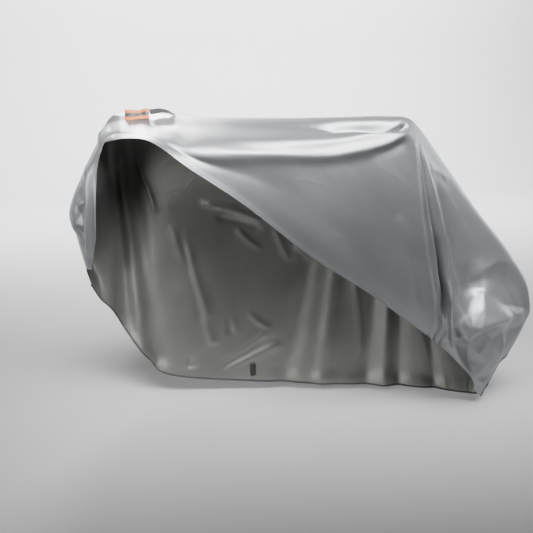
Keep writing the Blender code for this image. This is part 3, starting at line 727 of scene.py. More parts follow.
# Creases: name, height in mm at start and end, half width in mm on the left and on the right as
# one walks along it, how much wider it gets to its end, sharpness, path of (along, up).
nearCreases = (
    # top and swag
    ("roof valley", -7.0, -8.0, 10, 22, 0.8, 1.8,
        ((-0.740, 1.040), (-0.520, 1.030), (-0.390, 1.030), (-0.270, 1.030),
         (-0.200, 1.035), (-0.120, 1.035), (0.000, 1.040))),
    ("swag roll", 12.0, 12.0, 40, 26, 0.5, 1.8,
        ((-0.760, 0.970), (-0.700, 0.970), (-0.565, 0.950), (-0.440, 0.945), (-0.310, 0.940), (-0.215, 0.950),
         (-0.115, 0.970), (-0.050, 0.995), (0.000, 1.020))),
    ("valley end", -19.0, -22.0, 11, 8, 0.9, 1.6,
        ((-0.340, 1.030), (-0.235, 1.030), (-0.175, 1.030),
         (-0.115, 1.025), (-0.045, 1.025), (-0.010, 1.035))),
    ("fold by the strap", 5.0, 7.0, 7, 7, 1.0, 1.5,
        ((-0.860, 1.035), (-0.815, 1.050), (-0.790, 1.050), (-0.765, 1.045))),
    ("under that fold", -4.0, -4.0, 6, 10, 1.0, 1.5,
        ((-0.840, 1.030), (-0.815, 1.035), (-0.785, 1.035), (-0.765, 1.025))),
    ("seam mark", -3.0, -2.0, 3, 3, 1.0, 1.6, ((-0.770, 1.060), (-0.770, 1.045), (-0.765, 1.025))),
    ("under the corner", -3.0, -6.0, 8, 16, 1.0, 1.5,
        ((-0.160, 0.950), (-0.100, 0.960), (-0.030, 0.990))),
    # fan under the back corner of the top
    ("soft front fold", 2.0, 8.0, 14, 12, 1.6, 1.6,
        ((-0.060, 0.760), (-0.030, 0.700), (0.000, 0.590), (0.030, 0.480), (0.060, 0.370))),
    ("first lip", 3.0, 11.0, 6, 4, 1.5, 1.2,
        ((0.010, 1.010), (0.010, 0.980), (0.015, 0.945), (0.025, 0.830), (0.040, 0.720), (0.060, 0.620),
         (0.080, 0.545), (0.105, 0.450), (0.120, 0.350))),
    ("channel", -6.0, -36.0, 6, 7, 2.3, 1.8,
        ((0.020, 1.010), (0.035, 0.920), (0.060, 0.795), (0.085, 0.690), (0.105, 0.620), (0.120, 0.525),
         (0.135, 0.430), (0.145, 0.320))),
    ("crevice", -4.0, -16.0, 4, 4, 1.2, 1.6,
        ((0.085, 0.690), (0.107, 0.610), (0.122, 0.520), (0.137, 0.430), (0.145, 0.330))),
    ("second lip", 4.0, 13.0, 5, 7, 1.3, 1.2,
        ((0.020, 1.000), (0.030, 0.970), (0.040, 0.930), (0.060, 0.865), (0.080, 0.805), (0.100, 0.735),
         (0.115, 0.670), (0.130, 0.590), (0.140, 0.500))),
    ("behind the second lip", -3.0, -6.0, 8, 30, 1.5, 1.7,
        ((0.080, 0.870), (0.110, 0.780), (0.135, 0.705),
         (0.160, 0.630), (0.180, 0.560), (0.195, 0.500))),
    ("pillow fill", 17.0, 7.0, 46, 40, 1.0, 2.4,
        ((0.246, 0.480), (0.252, 0.425), (0.254, 0.370), (0.254, 0.320))),
    ("beside the second lip", 3.0, 15.0, 20, 7, 1.2, 2.0,
        ((0.130, 0.620), (0.145, 0.530), (0.158, 0.440), (0.172, 0.340), (0.180, 0.270))),
    ("high step", 3.0, 2.5, 20, 9, 1.0, 1.6,
        ((0.060, 0.890), (0.090, 0.885), (0.120, 0.870), (0.150, 0.845))),
    ("gather a", -6.0, -2.0, 4, 4, 1.0, 1.4, ((0.095, 0.300), (0.105, 0.340), (0.110, 0.390))),
    ("gather b", 6.0, 2.0, 4, 4, 1.0, 1.4, ((0.110, 0.285), (0.120, 0.320), (0.130, 0.360))),
    ("gather c", -7.0, -2.0, 4, 4, 1.0, 1.4, ((0.120, 0.280), (0.135, 0.315), (0.145, 0.350))),
    ("gather d", 7.0, 3.0, 4, 4, 1.0, 1.4, ((0.135, 0.270), (0.145, 0.300), (0.160, 0.340))),
    ("gather e", -7.0, -2.0, 4, 5, 1.0, 1.4, ((0.145, 0.260), (0.160, 0.290), (0.170, 0.320))),
    ("gather f", 5.0, 2.0, 4, 5, 1.0, 1.4, ((0.160, 0.250), (0.175, 0.270), (0.195, 0.290))),
    # nose
    ("nose pinch", -6.0, -4.0, 6, 7, 1.0, 1.2,
        ((-1.020, 0.945), (-1.005, 0.985), (-0.980, 1.005), (-0.945, 1.015))),
    ("nose pinch lip", 4.0, 3.0, 6, 5, 1.0, 1.2, ((-1.025, 0.960), (-1.010, 1.000), (-0.985, 1.020))),
    ("nose pinch below", 4.0, 3.0, 5, 6, 1.0, 1.2, ((-1.010, 0.950), (-0.990, 0.985), (-0.965, 1.000))),
    ("nose edge", 7.0, 12.0, 42, 8, 1.0, 1.3,
        ((-1.085, 0.905), (-1.065, 0.850), (-1.070, 0.740), (-1.080, 0.650), (-1.085, 0.570))),
    ("hem roll at the nose", -6.0, -6.0, 12, 9, 1.0, 1.8,
        ((-1.040, 0.900), (-1.045, 0.760), (-1.055, 0.600))),
)
farCreases = (
    ("front streak", -5.0, -9.0, 16, 14, 1.4, 1.6,
        ((-0.810, 0.680), (-0.750, 0.520), (-0.695, 0.385), (-0.660, 0.270))),
    ("second streak", -4.0, -9.0, 12, 10, 1.5, 1.4,
        ((-0.755, 0.660), (-0.705, 0.410), (-0.670, 0.245), (-0.650, 0.180))),
    ("between the streaks", 4.0, 7.0, 14, 14, 1.2, 1.8,
        ((-0.780, 0.640), (-0.725, 0.440), (-0.690, 0.270))),
    ("dent", 7.0, 3.0, 8, 7, 1.0, 1.3, ((-0.585, 0.225), (-0.590, 0.260), (-0.595, 0.300))),
    ("dent side", -5.0, -3.0, 7, 6, 1.0, 1.3, ((-0.615, 0.215), (-0.610, 0.260), (-0.600, 0.300))),
    ("dent other side", -5.0, -3.0, 6, 8, 1.0, 1.3, ((-0.560, 0.225), (-0.570, 0.270), (-0.585, 0.300))),
    ("low ridge", -9.0, -6.0, 7, 12, 0.8, 1.2,
        ((-0.425, 0.250), (-0.490, 0.200), (-0.570, 0.145), (-0.640, 0.095))),
    ("low slot", 8.0, 5.0, 7, 7, 0.8, 1.3, ((-0.435, 0.215), (-0.530, 0.155), (-0.630, 0.100))),
    ("low roll", -10.0, -5.0, 16, 9, 0.7, 1.5,
        ((-0.380, 0.200), (-0.465, 0.155), (-0.550, 0.115), (-0.630, 0.080))),
    ("low point", -6.0, -7.0, 7, 8, 1.0, 1.2, ((-0.520, 0.320), (-0.465, 0.270), (-0.425, 0.250))),
    ("left tuck", 5.0, 4.0, 6, 6, 1.0, 1.2, ((-0.740, 0.150), (-0.750, 0.110), (-0.705, 0.130))),
    ("high lap", -9.0, -7.0, 12, 8, 1.0, 1.3,
        ((-0.700, 0.740), (-0.600, 0.725), (-0.525, 0.700), (-0.450, 0.670))),
    ("under the lap", 7.0, 5.0, 8, 14, 1.0, 1.3, ((-0.640, 0.695), (-0.540, 0.670), (-0.455, 0.640))),
    ("lap fold", -6.0, -5.0, 6, 9, 1.0, 1.2, ((-0.560, 0.650), (-0.510, 0.600), (-0.455, 0.560))),
    ("vee left", -8.0, -6.0, 5, 8, 1.0, 1.2, ((-0.410, 0.650), (-0.385, 0.585), (-0.350, 0.510))),
    ("vee right", -5.0, -6.0, 8, 5, 1.0, 1.2, ((-0.325, 0.590), (-0.330, 0.550), (-0.345, 0.510))),
    ("wedge", -8.0, -5.0, 5, 9, 1.0, 1.2, ((-0.330, 0.580), (-0.300, 0.555), (-0.265, 0.515))),
    ("front crease", -6.0, -4.0, 8, 10, 1.2, 1.3, ((-0.915, 0.890), (-0.875, 0.785), (-0.850, 0.700))),
    ("front corner fold", -8.0, -4.0, 9, 12, 1.3, 1.3,
        ((-0.990, 0.930), (-0.975, 0.780), (-0.965, 0.600))),
    ("tail streak", -5.0, -7.0, 10, 14, 1.4, 1.4, ((-0.120, 0.560), (-0.090, 0.330), (-0.075, 0.120))),
)

# Crumpled patches of flat facets: points (name, along, up, height in mm) and the creases
# between them. The cloth is level with its surroundings at the points of the rim.
tailPatch = dict(
    points=(
        ("ridge a", 0.140, 0.580, 0), ("ridge b", 0.145, 0.500, 6), ("ridge c", 0.160, 0.435, 14),
        ("ridge d", 0.175, 0.370, 24), ("ridge e", 0.180, 0.320, 27),
        ("top a", 0.205, 0.485, -7), ("top b", 0.245, 0.455, -13), ("top c", 0.270, 0.470, -13),
        ("top d", 0.290, 0.480, -11), ("top e", 0.305, 0.475, -10),
        ("side a", 0.320, 0.450, -8), ("side b", 0.330, 0.420, -3), ("side c", 0.330, 0.380, 8),
        ("corner", 0.325, 0.365, 16), ("lip a", 0.265, 0.350, 14), ("lip b", 0.235, 0.330, 14),
        ("lip c", 0.220, 0.315, 13), ("pocket", 0.205, 0.330, 11), ("middle", 0.285, 0.415, -1),
        ("under a", 0.315, 0.295, -18), ("under b", 0.285, 0.270, -24), ("under c", 0.260, 0.250, -20),
        ("under d", 0.205, 0.265, -7),
        ("hollow a", 0.220, 0.505, -8), ("hollow b", 0.250, 0.485, -12), ("hollow c", 0.275, 0.495, -12),
        ("hollow d", 0.320, 0.505, -11), ("hollow e", 0.385, 0.475, -12), ("hollow f", 0.410, 0.430, -10),
        ("arch a", 0.295, 0.545, 2), ("arch b", 0.350, 0.560, 4), ("arch c", 0.400, 0.550, 2),
        ("second a", 0.370, 0.410, -6), ("second b", 0.425, 0.395, -10), ("second c", 0.440, 0.360, 10),
        ("dark a", 0.445, 0.295, -12), ("dark b", 0.390, 0.300, -18),
        ("streak a", 0.340, 0.340, 0), ("streak b", 0.335, 0.280, 8), ("streak c", 0.300, 0.220, 10),
        ("low a", 0.380, 0.230, 12), ("low b", 0.425, 0.250, -8), ("low c", 0.345, 0.175, 10),
        ("slit", 0.275, 0.185, -14), ("foot a", 0.365, 0.110, -10), ("foot b", 0.345, 0.085, 3),
    ),
    rim=(
        (0.135, 0.500), (0.150, 0.405), (0.155, 0.330), (0.190, 0.245), (0.245, 0.180), (0.300, 0.110),
        (0.325, 0.060), (0.360, 0.060), (0.400, 0.160), (0.450, 0.240), (0.490, 0.300), (0.500, 0.370),
        (0.465, 0.480), (0.410, 0.565), (0.340, 0.605), (0.230, 0.570), (0.185, 0.560), (0.130, 0.600),
    ),
    creases=(
        ("ridge a", "ridge b"), ("ridge b", "ridge c"), ("ridge c", "ridge d"), ("ridge d", "ridge e"),
        ("ridge b", "top a"), ("top a", "top b"), ("top b", "top c"),
        ("top c", "top d"), ("top d", "top e"),
        ("top e", "side a"), ("side a", "side b"), ("side b", "side c"), ("side c", "corner"),
        ("corner", "lip a"), ("lip a", "lip b"), ("lip b", "lip c"), ("lip c", "pocket"),
        ("hollow a", "hollow b"), ("hollow b", "hollow c"),
        ("hollow c", "hollow d"), ("hollow d", "hollow e"),
        ("hollow e", "hollow f"), ("under a", "under b"), ("under b", "under c"), ("under c", "under d"),
        ("second a", "second b"), ("second b", "second c"), ("corner", "second c"), ("side b", "second a"),
        ("corner", "streak a"), ("streak a", "streak b"), ("streak b", "streak c"), ("dark a", "dark b"),
        ("low a", "low b"),
    ),
)
nosePatch = dict(
    points=(
        ("band high", -1.060, 0.870, 2), ("band upper", -1.065, 0.790, 4),
        ("band middle", -1.075, 0.700, 5),
        ("band low", -1.080, 0.610, 3), ("shelf", -1.095, 0.800, -10), ("cheek", -1.110, 0.770, 5),
        ("cheek dent", -1.100, 0.735, -9), ("tuck", -1.120, 0.690, 6),
        ("under the tuck", -1.110, 0.665, -9),
        ("low dent", -1.095, 0.640, -9),
    ),
    rim=(
        (-1.040, 0.930), (-1.030, 0.760), (-1.040, 0.570), (-1.100, 0.550), (-1.150, 0.640),
        (-1.165, 0.750), (-1.120, 0.845), (-1.075, 0.930),
    ),
    creases=(
        ("band high", "band upper"), ("band upper", "band middle"), ("band middle", "band low"),
        ("shelf", "cheek"), ("cheek", "tuck"), ("tuck", "band middle"), ("under the tuck", "low dent"),
    ),
)


# Smooth curve through values at the knots, read at the given places.
def smoothThrough(knots, values, places):
    knots = np.asarray(knots, float)
    values = np.asarray(values, float)
    spans = np.diff(knots)
    slopes = np.diff(values, axis=0) / spans[:, None]
    tangents = np.empty_like(values)
    tangents[0] = slopes[0]
    tangents[-1] = slopes[-1]
    before = spans[:-1, None]
    after = spans[1:, None]
    tangents[1:-1] = (slopes[:-1] * after + slopes[1:] * before) / (before + after)
    cell = np.clip(np.searchsorted(knots, places, side="right") - 1, 0, len(spans) - 1)
    step = spans[cell][:, None]
    part = ((places - knots[cell]) / spans[cell])[:, None]
    return (
        values[cell] * (2 * part**3 - 3 * part**2 + 1)
        + tangents[cell] * step * (part**3 - 2 * part**2 + part)
        + values[cell + 1] * (3 * part**2 - 2 * part**3)
        + tangents[cell + 1] * step * (part**3 - part**2)
    )


def smoothStep(value):
    value = np.clip(value, 0.0, 1.0)
    return value * value * (3.0 - 2.0 * value)


def plainSurface(sections, crossings):
    places = [place for _, place, _ in guideLines]
    guides = []
    for _, _, rows in guideLines:
        rows = np.array(rows)
        guides.append(smoothThrough(rows[:, 0], rows[:, 1:], sections))
    guides = np.array(guides)
    guides[..., 2] -= groundUp
    grid = np.empty((len(sections), len(crossings), 3))
    for row in range(len(sections)):
        grid[row] = smoothThrough(places, guides[:, row], crossings)
    return grid


def surfaceNormals(grid):
    normals = np.cross(np.gradient(grid, axis=0), np.gradient(grid, axis=1))
    return normals / np.linalg.norm(normals, axis=2, keepdims=True)


def foldHeights(folds, grid):
    along = grid[..., 0]
    up = grid[..., 2] + groundUp
    heights = np.zeros(along.shape)
    for fold in folds:
        _, x0, up0, x1, up1, bow, width0, width1, height0, height1, sharpness = fold
        length = math.hypot(x1 - x0, up1 - up0)
        run = (x1 - x0) / length
        climb = (up1 - up0) / length
        share = ((along - x0) * run + (up - up0) * climb) / length
        inside = np.clip(share, 0.0, 1.0)
        aside = (along - x0) * -climb + (up - up0) * run
        aside = aside - bow * 4.0 * inside * (1.0 - inside)
        width = width0 + (width1 - width0) * inside
        crest = np.exp(-((np.abs(aside) / width) ** sharpness))
        ends = smoothStep((share + cloth["foldEnd"]) / cloth["foldEnd"])
        ends = ends * smoothStep((1.0 + cloth["foldEnd"] - share) / cloth["foldEnd"])
        heights += (height0 + (height1 - height0) * inside) * crest * ends
    return heights


# Heights of the creases, each along a smooth path with its own width on each side.
def creaseHeights(creases, grid):
    flat = np.stack([grid[..., 0], grid[..., 2] + groundUp], -1)
    total = np.zeros(grid.shape[:2])
    for _, height0, height1, left, right, grow, sharpness, path in creases:
        path = np.array(path)
        knots = np.linspace(0.0, 1.0, len(path))
        line = smoothThrough(knots, path, np.linspace(0.0, 1.0, 8 * len(path)))
        nearest = np.full(total.shape, np.inf)
        signed = np.zeros(total.shape)
        place = np.zeros(total.shape)
        count = len(line) - 1
        for k in range(count):
            ahead = line[k + 1] - line[k]
            length = math.hypot(*ahead)
            ahead = ahead / length
            away = flat - line[k]
            share = away @ ahead
            held = np.clip(share, 0.0, length)
            aside = away[..., 1] * ahead[0] - away[..., 0] * ahead[1]
            gap = np.hypot(aside, share - held)
            closer = gap < nearest
            nearest = np.where(closer, gap, nearest)
            signed = np.where(closer, aside, signed)
            place = np.where(closer, (k + held / length) / count, place)
        width = np.where(signed > 0, left, right) / 1000.0 * (1.0 + (grow - 1.0) * place)
        shape = np.exp(-((nearest / width) ** sharpness))
        ends = smoothStep(place / cloth["creaseEnd"]) * smoothStep((1.0 - place) / cloth["creaseEnd"])
        total += (height0 + (height1 - height0) * place) / 1000.0 * shape * ends
    return total


# Heights over a patch of flat facets, softened a little along its creases.
def facetHeights(patch, grid):
    names = [row[0] for row in patch["points"]]
    places = [Vector(row[1:3]) for row in patch["points"]] + [Vector(p) for p in patch["rim"]]
    heights = np.array([row[3] / 1000.0 for row in patch["points"]] + [0.0] * len(patch["rim"]))
    edges = [(names.index(a), names.index(b)) for a, b in patch["creases"]]
    first = len(names)
    count = len(patch["rim"])
    edges += [(first + k, first + (k + 1) % count) for k in range(count)]
    corners, _, faces, origin, _, _ = delaunay_2d_cdt(places, edges, [], 1, 1e-6)
    along = grid[..., 0]
    up = grid[..., 2] + groundUp
    total = np.zeros(along.shape)
    for face in faces:
        (ax, ay), (bx, by), (cx, cy) = [corners[k] for k in face]
        level = [heights[origin[k][0]] for k in face]
        size = (by - cy) * (ax - cx) + (cx - bx) * (ay - cy)
        one = ((by - cy) * (along - cx) + (cx - bx) * (up - cy)) / size
        two = ((cy - ay) * (along - cx) + (ax - cx) * (up - cy)) / size
        three = 1.0 - one - two
        inside = (one >= 0) & (two >= 0) & (three >= 0)
        total = np.where(inside, one * level[0] + two * level[1] + three * level[2], total)
    for _ in range(cloth["facetSoft"]):
        total[1:-1] = (total[:-2] + 2.0 * total[1:-1] + total[2:]) / 4.0
        total[:, 1:-1] = (total[:, :-2] + 2.0 * total[:, 1:-1] + total[:, 2:]) / 4.0
    return total


ripples = (
    # waves for each metre along and across, height in mm, seed
    (3.0, 6.0, 2.0, 3),
    (8.0, 12.0, 0.9, 11),
    (20.0, 30.0, 0.35, 23),
)


# Slight unevenness of loose cloth, on the cloth's own flat lengths.
def rippleHeights(flat):
    total = np.zeros(flat.shape[:2])
    for along, across, height, seed in ripples:
        for i in range(flat.shape[0]):
            for j in range(flat.shape[1]):
                u, v = flat[i, j]
                total[i, j] += height / 1000.0 * noise.noise((u * along, v * across, seed))
    return total


# Lengths along and across the cloth at each point, in metres.
def flatLengths(grid):
    along = np.linalg.norm(np.diff(grid, axis=0), axis=2)
    across = np.linalg.norm(np.diff(grid, axis=1), axis=2)
    u = np.zeros(grid.shape[:2])
    u[1:] = np.cumsum(along.mean(axis=1))[:, None]
    v = np.zeros(grid.shape[:2])
    v[:, 1:] = np.cumsum(across, axis=1)
    return np.stack([u, v], -1)


def spacing(density):
    places = [density[0][0]]
    for start, end, count in density:
        places.extend(np.linspace(start, end, count + 1)[1:])
    return np.array(places)


def clothGrid():
    crossings = spacing(stripDensity)
    plain = plainSurface(spacing(columnDensity), crossings)
    normals = surfaceNormals(plain)
    fromRidge = np.abs(crossings - cloth["ridgePlace"])
    isNear = crossings < cloth["ridgePlace"] - 1e-9
    isFar = crossings > cloth["ridgePlace"] + 1e-9
    heights = np.zeros(plain.shape[:2])
    heights[:, isFar] = foldHeights(farFolds, plain[:, isFar])
    heights[:, isNear] = creaseHeights(nearCreases, plain[:, isNear])
    heights[:, isNear] += facetHeights(tailPatch, plain[:, isNear])
    heights[:, isNear] += facetHeights(nosePatch, plain[:, isNear])
    heights[:, isFar] += creaseHeights(farCreases, plain[:, isFar])
    heights *= smoothStep(fromRidge / cloth["foldFade"])
    flat = flatLengths(plain)
    heights += rippleHeights(flat) * smoothStep(fromRidge / cloth["rippleFade"])
    fromFarHem = flat[:, -1:, 1] - flat[..., 1]
    curlUnder = groundUp * cloth["hemCurlLow"]
    curl = smoothStep((curlUnder - (plain[:, -1:, 2] + groundUp)) / cloth["hemCurlFade"])
    heights -= cloth["hemCurl"] * curl * np.exp(-((fromFarHem / cloth["hemCurlWide"]) ** 2)) * isFar
    fromNearHem = flat[..., 1] - flat[:, :1, 1]
    front = plain[:, :1, 0]
    start, end = cloth["nearCurlSpan"]
    fade = cloth["nearCurlFade"]
    under = smoothStep((front - start) / fade) * smoothStep((end - front) / fade)
    heights -= cloth["nearCurl"] * under * np.exp(-((fromNearHem / cloth["nearCurlWide"]) ** 2)) * isNear
    grid = plain + normals * heights[..., None]
    return grid, surfaceNormals(grid), flat, crossings


def linkMesh(name, points, faces, uvs, surfaces, faceSurface=None, sharp=50.0):
    mesh = bpy.data.meshes.new(name)
    mesh.from_pydata([tuple(p) for p in points], [], faces)
    layer = mesh.uv_layers.new(name="flat")
    corners = np.empty(len(mesh.loops), dtype=np.int32)
    mesh.loops.foreach_get("vertex_index", corners)
    layer.data.foreach_set("uv", np.asarray(uvs, dtype=np.float32)[corners].ravel())
    for surface in surfaces:
        mesh.materials.append(surface)
    if faceSurface is not None:
        mesh.polygons.foreach_set("material_index", np.asarray(faceSurface, dtype=np.int32))
    mesh.shade_smooth()
    mesh.set_sharp_from_angle(angle=math.radians(sharp))
    mesh.update()
    made = bpy.data.objects.new(name, mesh)
    bpy.context.scene.collection.objects.link(made)
    return made


def layeredSheet(name, outer, inner, flat, surfaces):
    rows, columns = outer.shape[:2]
    points = np.concatenate([outer.reshape(-1, 3), inner.reshape(-1, 3)])
    uvs = np.concatenate([flat.reshape(-1, 2), flat.reshape(-1, 2)])
    base = rows * columns
    faces = []
    paint = []
    for i in range(rows - 1):
        for j in range(columns - 1):
            a = i * columns + j
            faces.append((a, a + columns, a + columns + 1, a + 1))
            paint.append(0)
            faces.append((base + a, base + a + 1, base + a + columns + 1, base + a + columns))
            paint.append(1)
    rim = [i * columns for i in range(rows)]
    rim += [(rows - 1) * columns + j for j in range(1, columns)]
    rim += [i * columns + columns - 1 for i in range(rows - 2, -1, -1)]
    rim += [j for j in range(columns - 2, 0, -1)]
    for a, b in zip(rim, rim[1:] + rim[:1]):
        faces.append((a, base + a, base + b, b))
        paint.append(0)
    return linkMesh(name, points, faces, uvs, surfaces, paint)


def unitRows(vectors):
    return vectors / np.linalg.norm(vectors, axis=-1, keepdims=True)


# Tape swept along a line. The section is a loop of (across, off) offsets in metres.
def sweptTape(name, line, facing, wide, section, surface):
    count = len(section)
    points = []
    uvs = []
    run = np.concatenate([[0.0], np.cumsum(np.linalg.norm(np.diff(line, axis=0), axis=1))])
    reach = np.array(section)
    girth = np.concatenate([[0.0], np.cumsum(np.linalg.norm(np.diff(reach, axis=0), axis=1))])
    for k in range(len(line)):
        for m, (across, off) in enumerate(section):
            points.append(line[k] + wide[k] * across + facing[k] * off)
            uvs.append((run[k], girth[m]))
    faces = []
    for k in range(len(line) - 1):
        for m in range(count):
            n = (m + 1) % count
            faces.append((k * count + m, (k + 1) * count + m, (k + 1) * count + n, k * count + n))
    faces.append(tuple(range(count)))
    last = (len(line) - 1) * count
    faces.append(tuple(last + m for m in reversed(range(count))))
    return linkMesh(name, points, faces, uvs, [surface], None, 60.0)


def declare(piece, slotName, *nodes):
    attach(piece, "root")
    if nodes:
        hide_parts(*nodes)
    return piece


def makeCloth(surfaces):
    grid, normals, flat, crossings = clothGrid()
    seam = int(np.argmin(np.abs(crossings - cloth["ridgePlace"])))
    fromHem = np.abs(flat[..., 1] - flat[:, :1, 1])
    hem = smoothStep((cloth["hemWide"] - fromHem) / cloth["hemStep"]) * cloth["hemThick"]
    fromSeam = np.abs(flat[..., 1] - flat[:, seam:seam + 1, 1])
    isNear = crossings < cloth["ridgePlace"]
    felled = smoothStep((cloth["felledWide"] - fromSeam) / cloth["hemStep"]) * isNear * cloth["felledThick"]
    outer = grid - normals * (cloth["layerSunk"] - hem[..., None] * 0.4 - felled[..., None])
    inner = grid - normals * (cloth["layerSunk"] + cloth["thick"] + hem[..., None] * 0.6)
    stepOff = unitRows(grid[:, seam + 1] - grid[:, seam - 1]) * cloth["seamGap"] / 2.0
    layers = {"near": [], "far": []}
    for layer in (outer, inner):
        near = layer[:, :seam + 1].copy()
        near[:, -1] -= stepOff
        layers["near"].append(near)
        far = layer[:, seam:].copy()
        far[:, 0] += stepOff
        layers["far"].append(far)
    nearCloth = layeredSheet("nearCloth", *layers["near"], flat[:, :seam + 1], surfaces)
    farCloth = layeredSheet("farCloth", *layers["far"], flat[:, seam:], surfaces)
    declare(nearCloth, "cloth", "near_panel")
    declare(farCloth, "cloth", "far_panel")
    return nearCloth, farCloth, grid, normals, flat, crossings


binding = dict(
    wide=0.007,
    thick=0.0034,
    gap=0.0003,
    sunk=0.001,         # its middle under the face of the cloth
    dark=(0.030, 0.030, 0.033),
    light=(0.06, 0.06, 0.065),
    ribs=700.0,         # for each metre
    bars=500.0,
)


def makeBinding(grid, normals, surface):
    middle = grid - normals * binding["sunk"]
    line = np.concatenate([middle[:, -1], middle[-1, -2::-1]])
    facing = np.concatenate([normals[:, -1], normals[-1, -2::-1]])
    steps = unitRows(np.diff(line, axis=0))
    ahead = unitRows(np.concatenate([steps[:1], steps[:-1] + steps[1:], steps[-1:]]))
    off = unitRows(np.cross(facing, ahead))
    low = binding["gap"]
    high = binding["gap"] + binding["wide"]
    half = binding["thick"] / 2.0
    section = [
        (low, half * 0.82), (low + 0.0012, half * 0.95), (high - 0.0016, half * 0.95),
        (high - 0.0005, half * 0.6), (high, 0.0), (high - 0.0005, -half * 0.6),
        (high - 0.0016, -half * 0.95), (low + 0.0012, -half * 0.95), (low, -half * 0.82),
    ]
    tape = sweptTape("hemBinding", line, facing, off, section, surface)
    return declare(tape, "binding", "hem_binding")


stitch = dict(
    pitch=0.0045,
    long=0.0032,
    thick=0.00028,
    rise=0.00030,
    shares=(0.0, 0.22, 0.78, 1.0),      # rings along a stitch
    rises=(-1.4, 0.6, 0.6, -1.4),       # and how high each one stands
    sides=5,
    clear=0.004,                        # bare cloth at each end of a row
    hemIn=0.013,
    seamIn=(0.0022, 0.0080),
    dark=(0.20, 0.205, 0.21),
    light=(0.30, 0.305, 0.31),
)


# Line on the cloth at a given distance across it, with its facing.
def alongCloth(grid, normals, flat, aside, lift):
    line = np.empty((len(grid), 3))
    facing = np.empty((len(grid), 3))
    for k in range(len(grid)):
        for axis in range(3):
            line[k, axis] = np.interp(aside[k], flat[k, :, 1], grid[k, :, axis])
            facing[k, axis] = np.interp(aside[k], flat[k, :, 1], normals[k, :, axis])
    facing = unitRows(facing)
    return line + facing * lift, facing


def addStitches(points, faces, line, facing):
    run = np.concatenate([[0.0], np.cumsum(np.linalg.norm(np.diff(line, axis=0), axis=1))])
    sides = stitch["sides"]
    start = stitch["clear"]
    while start + stitch["long"] < run[-1] - stitch["clear"]:
        places = start + stitch["long"] * np.array(stitch["shares"])
        middle = np.stack([np.interp(places, run, line[:, axis]) for axis in range(3)], -1)
        up = unitRows(np.stack([np.interp(places, run, facing[:, axis]) for axis in range(3)], -1))
        rises = np.array(stitch["rises"]) * stitch["rise"]
        middle = middle + up * rises[:, None]
        ahead = middle[-1] - middle[0]
        side = unitRows(np.cross(up, ahead / np.linalg.norm(ahead)))
        base = len(points)
        for row in range(4):
            for turn in range(sides):
                angle = 2.0 * math.pi * turn / sides
                ring = side[row] * math.cos(angle) + up[row] * math.sin(angle)
                points.append(middle[row] + stitch["thick"] * ring)
        for row in range(3):
            for turn in range(sides):
                after = (turn + 1) % sides
                a = base + row * sides
                faces.append((a + turn, a + after, a + sides + after, a + sides + turn))
        faces.append(tuple(base + turn for turn in reversed(range(sides))))
        faces.append(tuple(base + 3 * sides + turn for turn in range(sides)))
        start += stitch["pitch"]


def makeStitches(name, lines, surface):
    points = []
    faces = []
    for line, facing in lines:
        addStitches(points, faces, line, facing)
    mesh = bpy.data.meshes.new(name)
    mesh.from_pydata([tuple(p) for p in points], [], faces)
    mesh.materials.append(surface)
    mesh.shade_smooth()
    made = bpy.data.objects.new(name, mesh)
    bpy.context.scene.collection.objects.link(made)
    return declare(made, None)


strap = dict(
    wide=0.020,
    below=0.0,          # under the top of its box
    thick=0.0020,
    steps=40,
    dark=(0.012, 0.012, 0.014),
    light=(0.03, 0.03, 0.033),
    ribs=420.0,         # for each metre
    bars=500.0,
    line=(
        # share of its length, along, out, up, lean in degrees
        (0.00, -0.766, 0.1650, 1.0528, 5.0),
        (0.28, -0.788, 0.1620, 1.0645, 26.0),
        (0.60, -0.818, 0.1570, 1.0690, 46.0),
        (0.85, -0.841, 0.1500, 1.0656, 60.0),
        (1.00, -0.8509, 0.1495, 1.0650, 62.0),
    ),
)
band = dict(
    wide=0.036,
    below=0.004,
    thick=0.0012,
    crumple=0.0022,     # how far the bunched tape waves in and out
    waves=52.0,         # for each metre
    crumpleRun=0.18,    # length that the waves are laid out over
    acrossShare=0.7,
    fineWaves=(150.0, 110.0),
    fineShare=0.25,
    sway=0.0012,
    endRows=6.0,        # rows over which the crumple fades at each end
    steps=80,
    orange=((0.40, 0.090, 0.014), (0.58, 0.190, 0.045)),
    grey=((0.026, 0.024, 0.024), (0.055, 0.050, 0.048)),
    stripeEdge=(0.175, 0.195),      # shares of its width
    roughness=(0.62, 0.45),
    line=(
        (0.00, -0.8530, 0.1480, 1.0650, 58.0),
        (0.10, -0.8660, 0.1500, 1.0660, 70.0),
        (0.20, -0.8830, 0.1560, 1.0625, 54.0),
        (0.34, -0.9090, 0.1620, 1.0610, 66.0),
        (0.44, -0.9300, 0.1680, 1.0605, 74.0),
        (0.50, -0.9375, 0.1725, 1.0590, 70.0),
        (0.56, -0.9300, 0.1765, 1.0570, 62.0),
        (0.66, -0.9090, 0.1715, 1.0580, 58.0),
        (0.80, -0.8830, 0.1655, 1.0590, 56.0),
        (1.00, -0.8540, 0.1580, 1.0620, 62.0),
    ),
)


def ribbonFrame(settings):
    rows = np.array(settings["line"])
    places = np.linspace(0.0, 1.0, settings["steps"] + 1)
    read = smoothThrough(rows[:, 0], rows[:, 1:], places)
    line = read[:, :3] - np.array([0.0, 0.0, groundUp])
    ahead = unitRows(np.gradient(line, axis=0))
    lean = np.radians(read[:, 3:4])
    wide = np.hstack([np.zeros_like(lean), np.cos(lean), np.sin(lean)])
    wide = unitRows(wide - ahead * np.sum(wide * ahead, axis=1, keepdims=True))
    return line, np.cross(ahead, wide), wide


